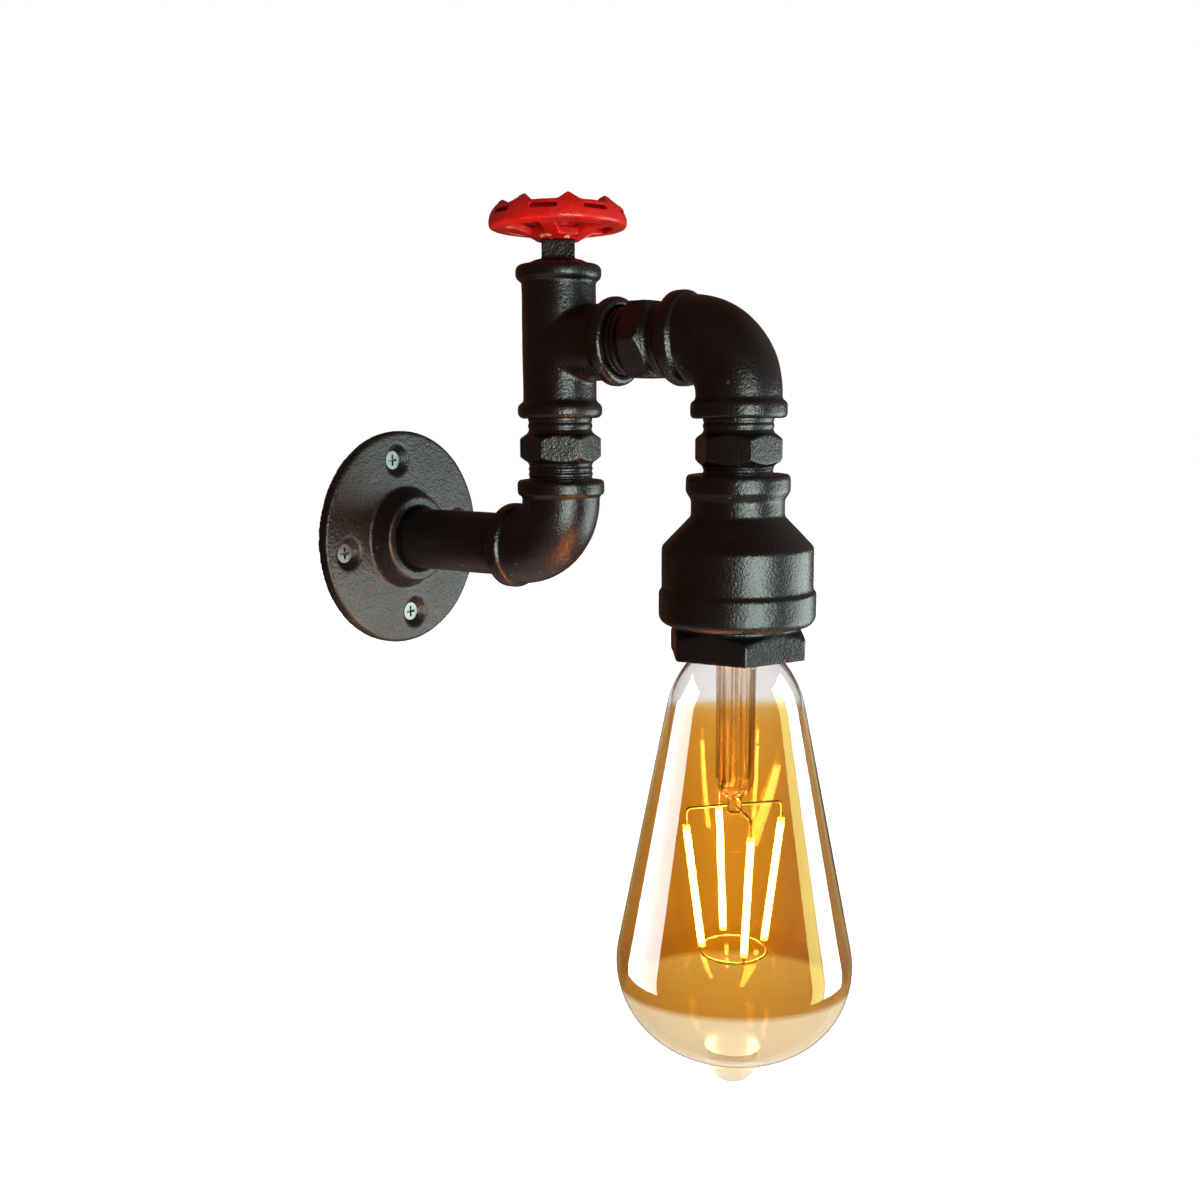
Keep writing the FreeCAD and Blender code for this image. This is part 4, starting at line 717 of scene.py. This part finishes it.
def stem_glass():
    """Slightly wavy clear glass, brown where it turns away."""
    material, tree, shader = start_material(
        "stem_glass", PALE_GLASS, 0.02, Transmission_Weight=1.0, IOR=GLASS_IOR,
    )
    turned = add_range(tree, add_facing(tree), 0.15, 0.45)
    lines = mix_colours(tree, turned, PALE_GLASS, BROWN_LINES)
    tree.links.new(lines, shader.inputs["Base Color"])
    skin = add_group(tree, "cast_skin", Pebbles_per_metre=300.0, Pit_depth=0.0)
    add_bump(tree, shader, skin["Height"], distance=0.0002, strength=0.3)
    return material


clear_glass = stem_glass()
stem = lathe("bulb_stem", STEM_OUTSIDE + STEM_INSIDE[::-1], turns=176, uneven=stem_shape)
stem.data.materials.append(clear_glass)
stem.visible_shadow = False
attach(stem, "bulb")
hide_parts("glass_stem")
dress("stem_bead", clear_glass)
print(stem.name, len(stem.data.vertices), "points")


# %% [markdown]
# Each filament is a thin rod coated in yellow phosphor that glows along its whole length. A lamp
# in the bulb could light the glass, but the rods themselves have to shine, so their material
# gives the light. It is many times stronger than white, because the amber film takes much of it
# away. It is weaker at the rods' sides and ends, where the coat is thin.
# %% Glowing filaments
MIDDLE_GLOW, SIDE_GLOW, END_GLOW = 60.0, 14.0, 3.0
END_LENGTH, END_FADE = 0.8 * MM, 2.4 * MM


def phosphor():
    """A glow that is strongest along the middle of each rod."""
    material, tree, shader = start_material(
        "glowing_phosphor", (1.0, 0.80, 0.45), 0.5, Emission_Color=(1.0, 0.82, 0.52, 1),
    )
    height = height_of(tree, object_place(tree))
    low, high = (corner[2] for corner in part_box("filaments"))
    foot = add_range(tree, height, low + END_LENGTH, low + END_FADE)
    head = add_range(tree, height, high - END_LENGTH, high - END_FADE)
    core = add_range(tree, add_facing(tree, 0.35), 0.3, 1.0, MIDDLE_GLOW, SIDE_GLOW)
    share = add_math(tree, "MULTIPLY", foot, head)
    more = add_math(tree, "SUBTRACT", core, END_GLOW)
    strength = add_math(tree, "MULTIPLY_ADD", more, share, END_GLOW)
    tree.links.new(strength, shader.inputs["Emission Strength"])
    skin = add_group(tree, "cast_skin", Pebbles_per_metre=900.0)
    add_bump(tree, shader, skin["Height"], distance=0.0001)
    return material


glow_coat = phosphor()
dress("filaments", glow_coat)
print("filaments wear", glow_coat.name)

# %% [markdown]
# The iron is almost black, so what shows its form is what it mirrors: one soft lamp beside the
# camera gives the broad sheen on every face turned to it, and another on the far right gives the
# pale edge. The bulb mirrors two tall lamps a little behind it, one on each side, and a narrow
# golden one just before the right one. They would flood the iron's dark left side, so they are
# linked to the envelope alone, the way a photographer keeps a lamp off a piece with a black card.
# The filaments are too thin to light the iron without grain in the picture, so a small orange
# lamp in the bulb does that.
# %% Helpers for lamps
TARGET = Vector((0, -100, -20)) * MM  # what the soft lamps point at
level_back = Vector((view_back.x, view_back.y, 0)).normalized()
level_right = Vector((view_right.x, view_right.y, 0)).normalized()


def hang_lamp(lamp, place):
    """Put a lamp at a place, where neither the camera nor the glass shows it."""
    item = bpy.data.objects.new(lamp.name, lamp)
    item.location = place
    item.visible_camera = item.visible_transmission = False
    bpy.context.scene.collection.objects.link(item)
    return item


def soft_lamp(name, turn, lift, distance, width, height, radiance, colour):
    """An area lamp turned to the right of the camera's side and lifted, both in degrees."""
    turn, lift = math.radians(turn), math.radians(lift)
    level = level_back * math.cos(turn) + level_right * math.sin(turn)
    lamp = bpy.data.lights.new(name, "AREA")
    lamp.shape = "RECTANGLE"
    lamp.size, lamp.size_y = width, height
    lamp.energy = radiance * math.pi * width * height
    lamp.color = colour
    offset = (level * math.cos(lift) + Vector((0, 0, math.sin(lift)))) * distance
    item = hang_lamp(lamp, TARGET + offset)
    item.rotation_euler = (item.location - TARGET).to_track_quat("Z", "Y").to_euler()
    return item


def link_lamp(item, pieces, state="INCLUDE"):
    """Let a lamp reach only some pieces, or all but them."""
    receivers = bpy.data.collections.new(item.name + "_receivers")
    for piece in pieces:
        receivers.objects.link(piece)
    for entry in receivers.collection_objects:
        entry.light_linking.link_state = state
    item.light_linking.receiver_collection = receivers


# %% Lamps
# Turn and lift in degrees; distance, width and height in metres; radiance; colour.
IRON_LAMPS = {
    "front_softbox": (24, -9, 0.6, 0.38, 0.36, 11.0, (0.86, 1.0, 0.92)),
    "side_softbox": (100, -15, 0.8, 0.70, 0.50, 5.0, (0.86, 1.0, 0.94)),
}
GLASS_LAMPS = {
    "left_strip": (-101, 0, 0.8, 0.66, 0.9, 17.0, (0.86, 0.94, 1.0)),
    "right_strip": (98, 0, 0.8, 0.40, 0.9, 17.0, (0.86, 0.94, 1.0)),
    "gold_strip": (76, 0, 0.8, 0.20, 0.9, 10.0, (0.88, 1.0, 0.32)),
}
for name, values in IRON_LAMPS.items():
    link_lamp(soft_lamp(name, *values), [envelope, stem], "EXCLUDE")
for name, values in GLASS_LAMPS.items():
    link_lamp(soft_lamp(name, *values), [envelope])
print("lamps:", *IRON_LAMPS, *GLASS_LAMPS)

# %% The bulb's warm light on the iron
glow = bpy.data.lights.new("bulb_glow", "POINT")
glow.energy = 1.6
glow.shadow_soft_size = 0.015
glow.color = (1.0, 0.22, 0.06)
AMONG_FILAMENTS = LAMP_AXIS + Vector((0, 0, -0.1))
glow_item = hang_lamp(glow, AMONG_FILAMENTS)
link_lamp(glow_item, [envelope, stem], "EXCLUDE")
print("warm lamp at", [round(c, 3) for c in glow_item.location])


# %% [markdown]
# The background is white, but iron that mirrors white all round turns grey. The world could hold
# one pale picture of a studio for every ray, but here Light Path lets it treat rays differently:
# white for the camera and through glass, a dim room for what the iron mirrors, and a plain weak
# white for all soft light. The mirrored room is pale on the right and below, and warm and dark on
# the left.
# %% World
ROOM_LEFT = (0.14, 0.05, 0.03)
ROOM_RIGHT = (0.30, 0.33, 0.31)
ROOM_BELOW = (0.60, 0.56, 0.50)
SOFT_LIGHT = 0.35


def studio_world():
    """White behind the lamp; what the iron mirrors is pale on the right and dim on the left."""
    world = bpy.data.worlds.new("studio")
    world.use_nodes = True
    tree = world.node_tree
    back = tree.nodes["Background"]
    ray = tree.nodes.new("ShaderNodeLightPath")
    direction = tree.nodes.new("ShaderNodeTexCoord").outputs["Generated"]
    side = add_range(tree, add_dot(tree, direction, level_right), 0.35, 1.0)
    mirrored = mix_colours(tree, side, ROOM_LEFT, ROOM_RIGHT)
    under = add_range(tree, height_of(tree, direction), -0.55, -0.90)
    mirrored = mix_colours(tree, under, mirrored, ROOM_BELOW)
    colour = mix_colours(tree, ray.outputs["Is Glossy Ray"], (1, 1, 1), mirrored)
    tree.links.new(colour, back.inputs["Color"])
    seen = add_math(tree, "MAXIMUM", ray.outputs["Is Camera Ray"], ray.outputs["Is Transmission Ray"])
    seen = add_math(tree, "MAXIMUM", seen, ray.outputs["Is Glossy Ray"])
    tree.links.new(add_range(tree, seen, 0.0, 1.0, SOFT_LIGHT, 1.0), back.inputs["Strength"])
    return world


bpy.context.scene.world = studio_world()
print("world:", bpy.context.scene.world.name)

# %% [markdown]
# The floor is pale paper. To the camera it shines a little, and fully far away, so that it runs
# into the white background without a line; near the lamp it keeps some shadow. Mirrored rays
# don't meet it, because the world already holds what the iron mirrors from below.
# %% Floor
SIDE, LOW = 4.0, -0.5  # half its width, and its height, in metres


def pale_floor():
    """A square of paper under the lamp."""
    mesh = bpy.data.meshes.new("floor")
    corners = [(-SIDE, -SIDE, LOW), (SIDE, -SIDE, LOW), (SIDE, SIDE, LOW), (-SIDE, SIDE, LOW)]
    mesh.from_pydata(corners, [], [(0, 1, 2, 3)])
    floor = bpy.data.objects.new("floor", mesh)
    bpy.context.scene.collection.objects.link(floor)
    paper, tree, shader = start_material(
        "pale_paper", (0.85, 0.85, 0.85), 0.9, Emission_Color=(1, 1, 1, 1),
    )
    ray = tree.nodes.new("ShaderNodeLightPath")
    seen = add_math(tree, "MAXIMUM", ray.outputs["Is Camera Ray"], ray.outputs["Is Transmission Ray"])
    away = tree.nodes.new("ShaderNodeVectorMath")
    away.operation = "LENGTH"
    tree.links.new(object_place(tree), away.inputs[0])
    fade = add_range(tree, away.outputs["Value"], 0.55, 1.3, 0.72, 1.0)
    tree.links.new(add_math(tree, "MULTIPLY", seen, fade), shader.inputs["Emission Strength"])
    floor.data.materials.append(paper)
    floor.visible_glossy = False
    return floor


pale_floor()
print("floor at", LOW, "metres")
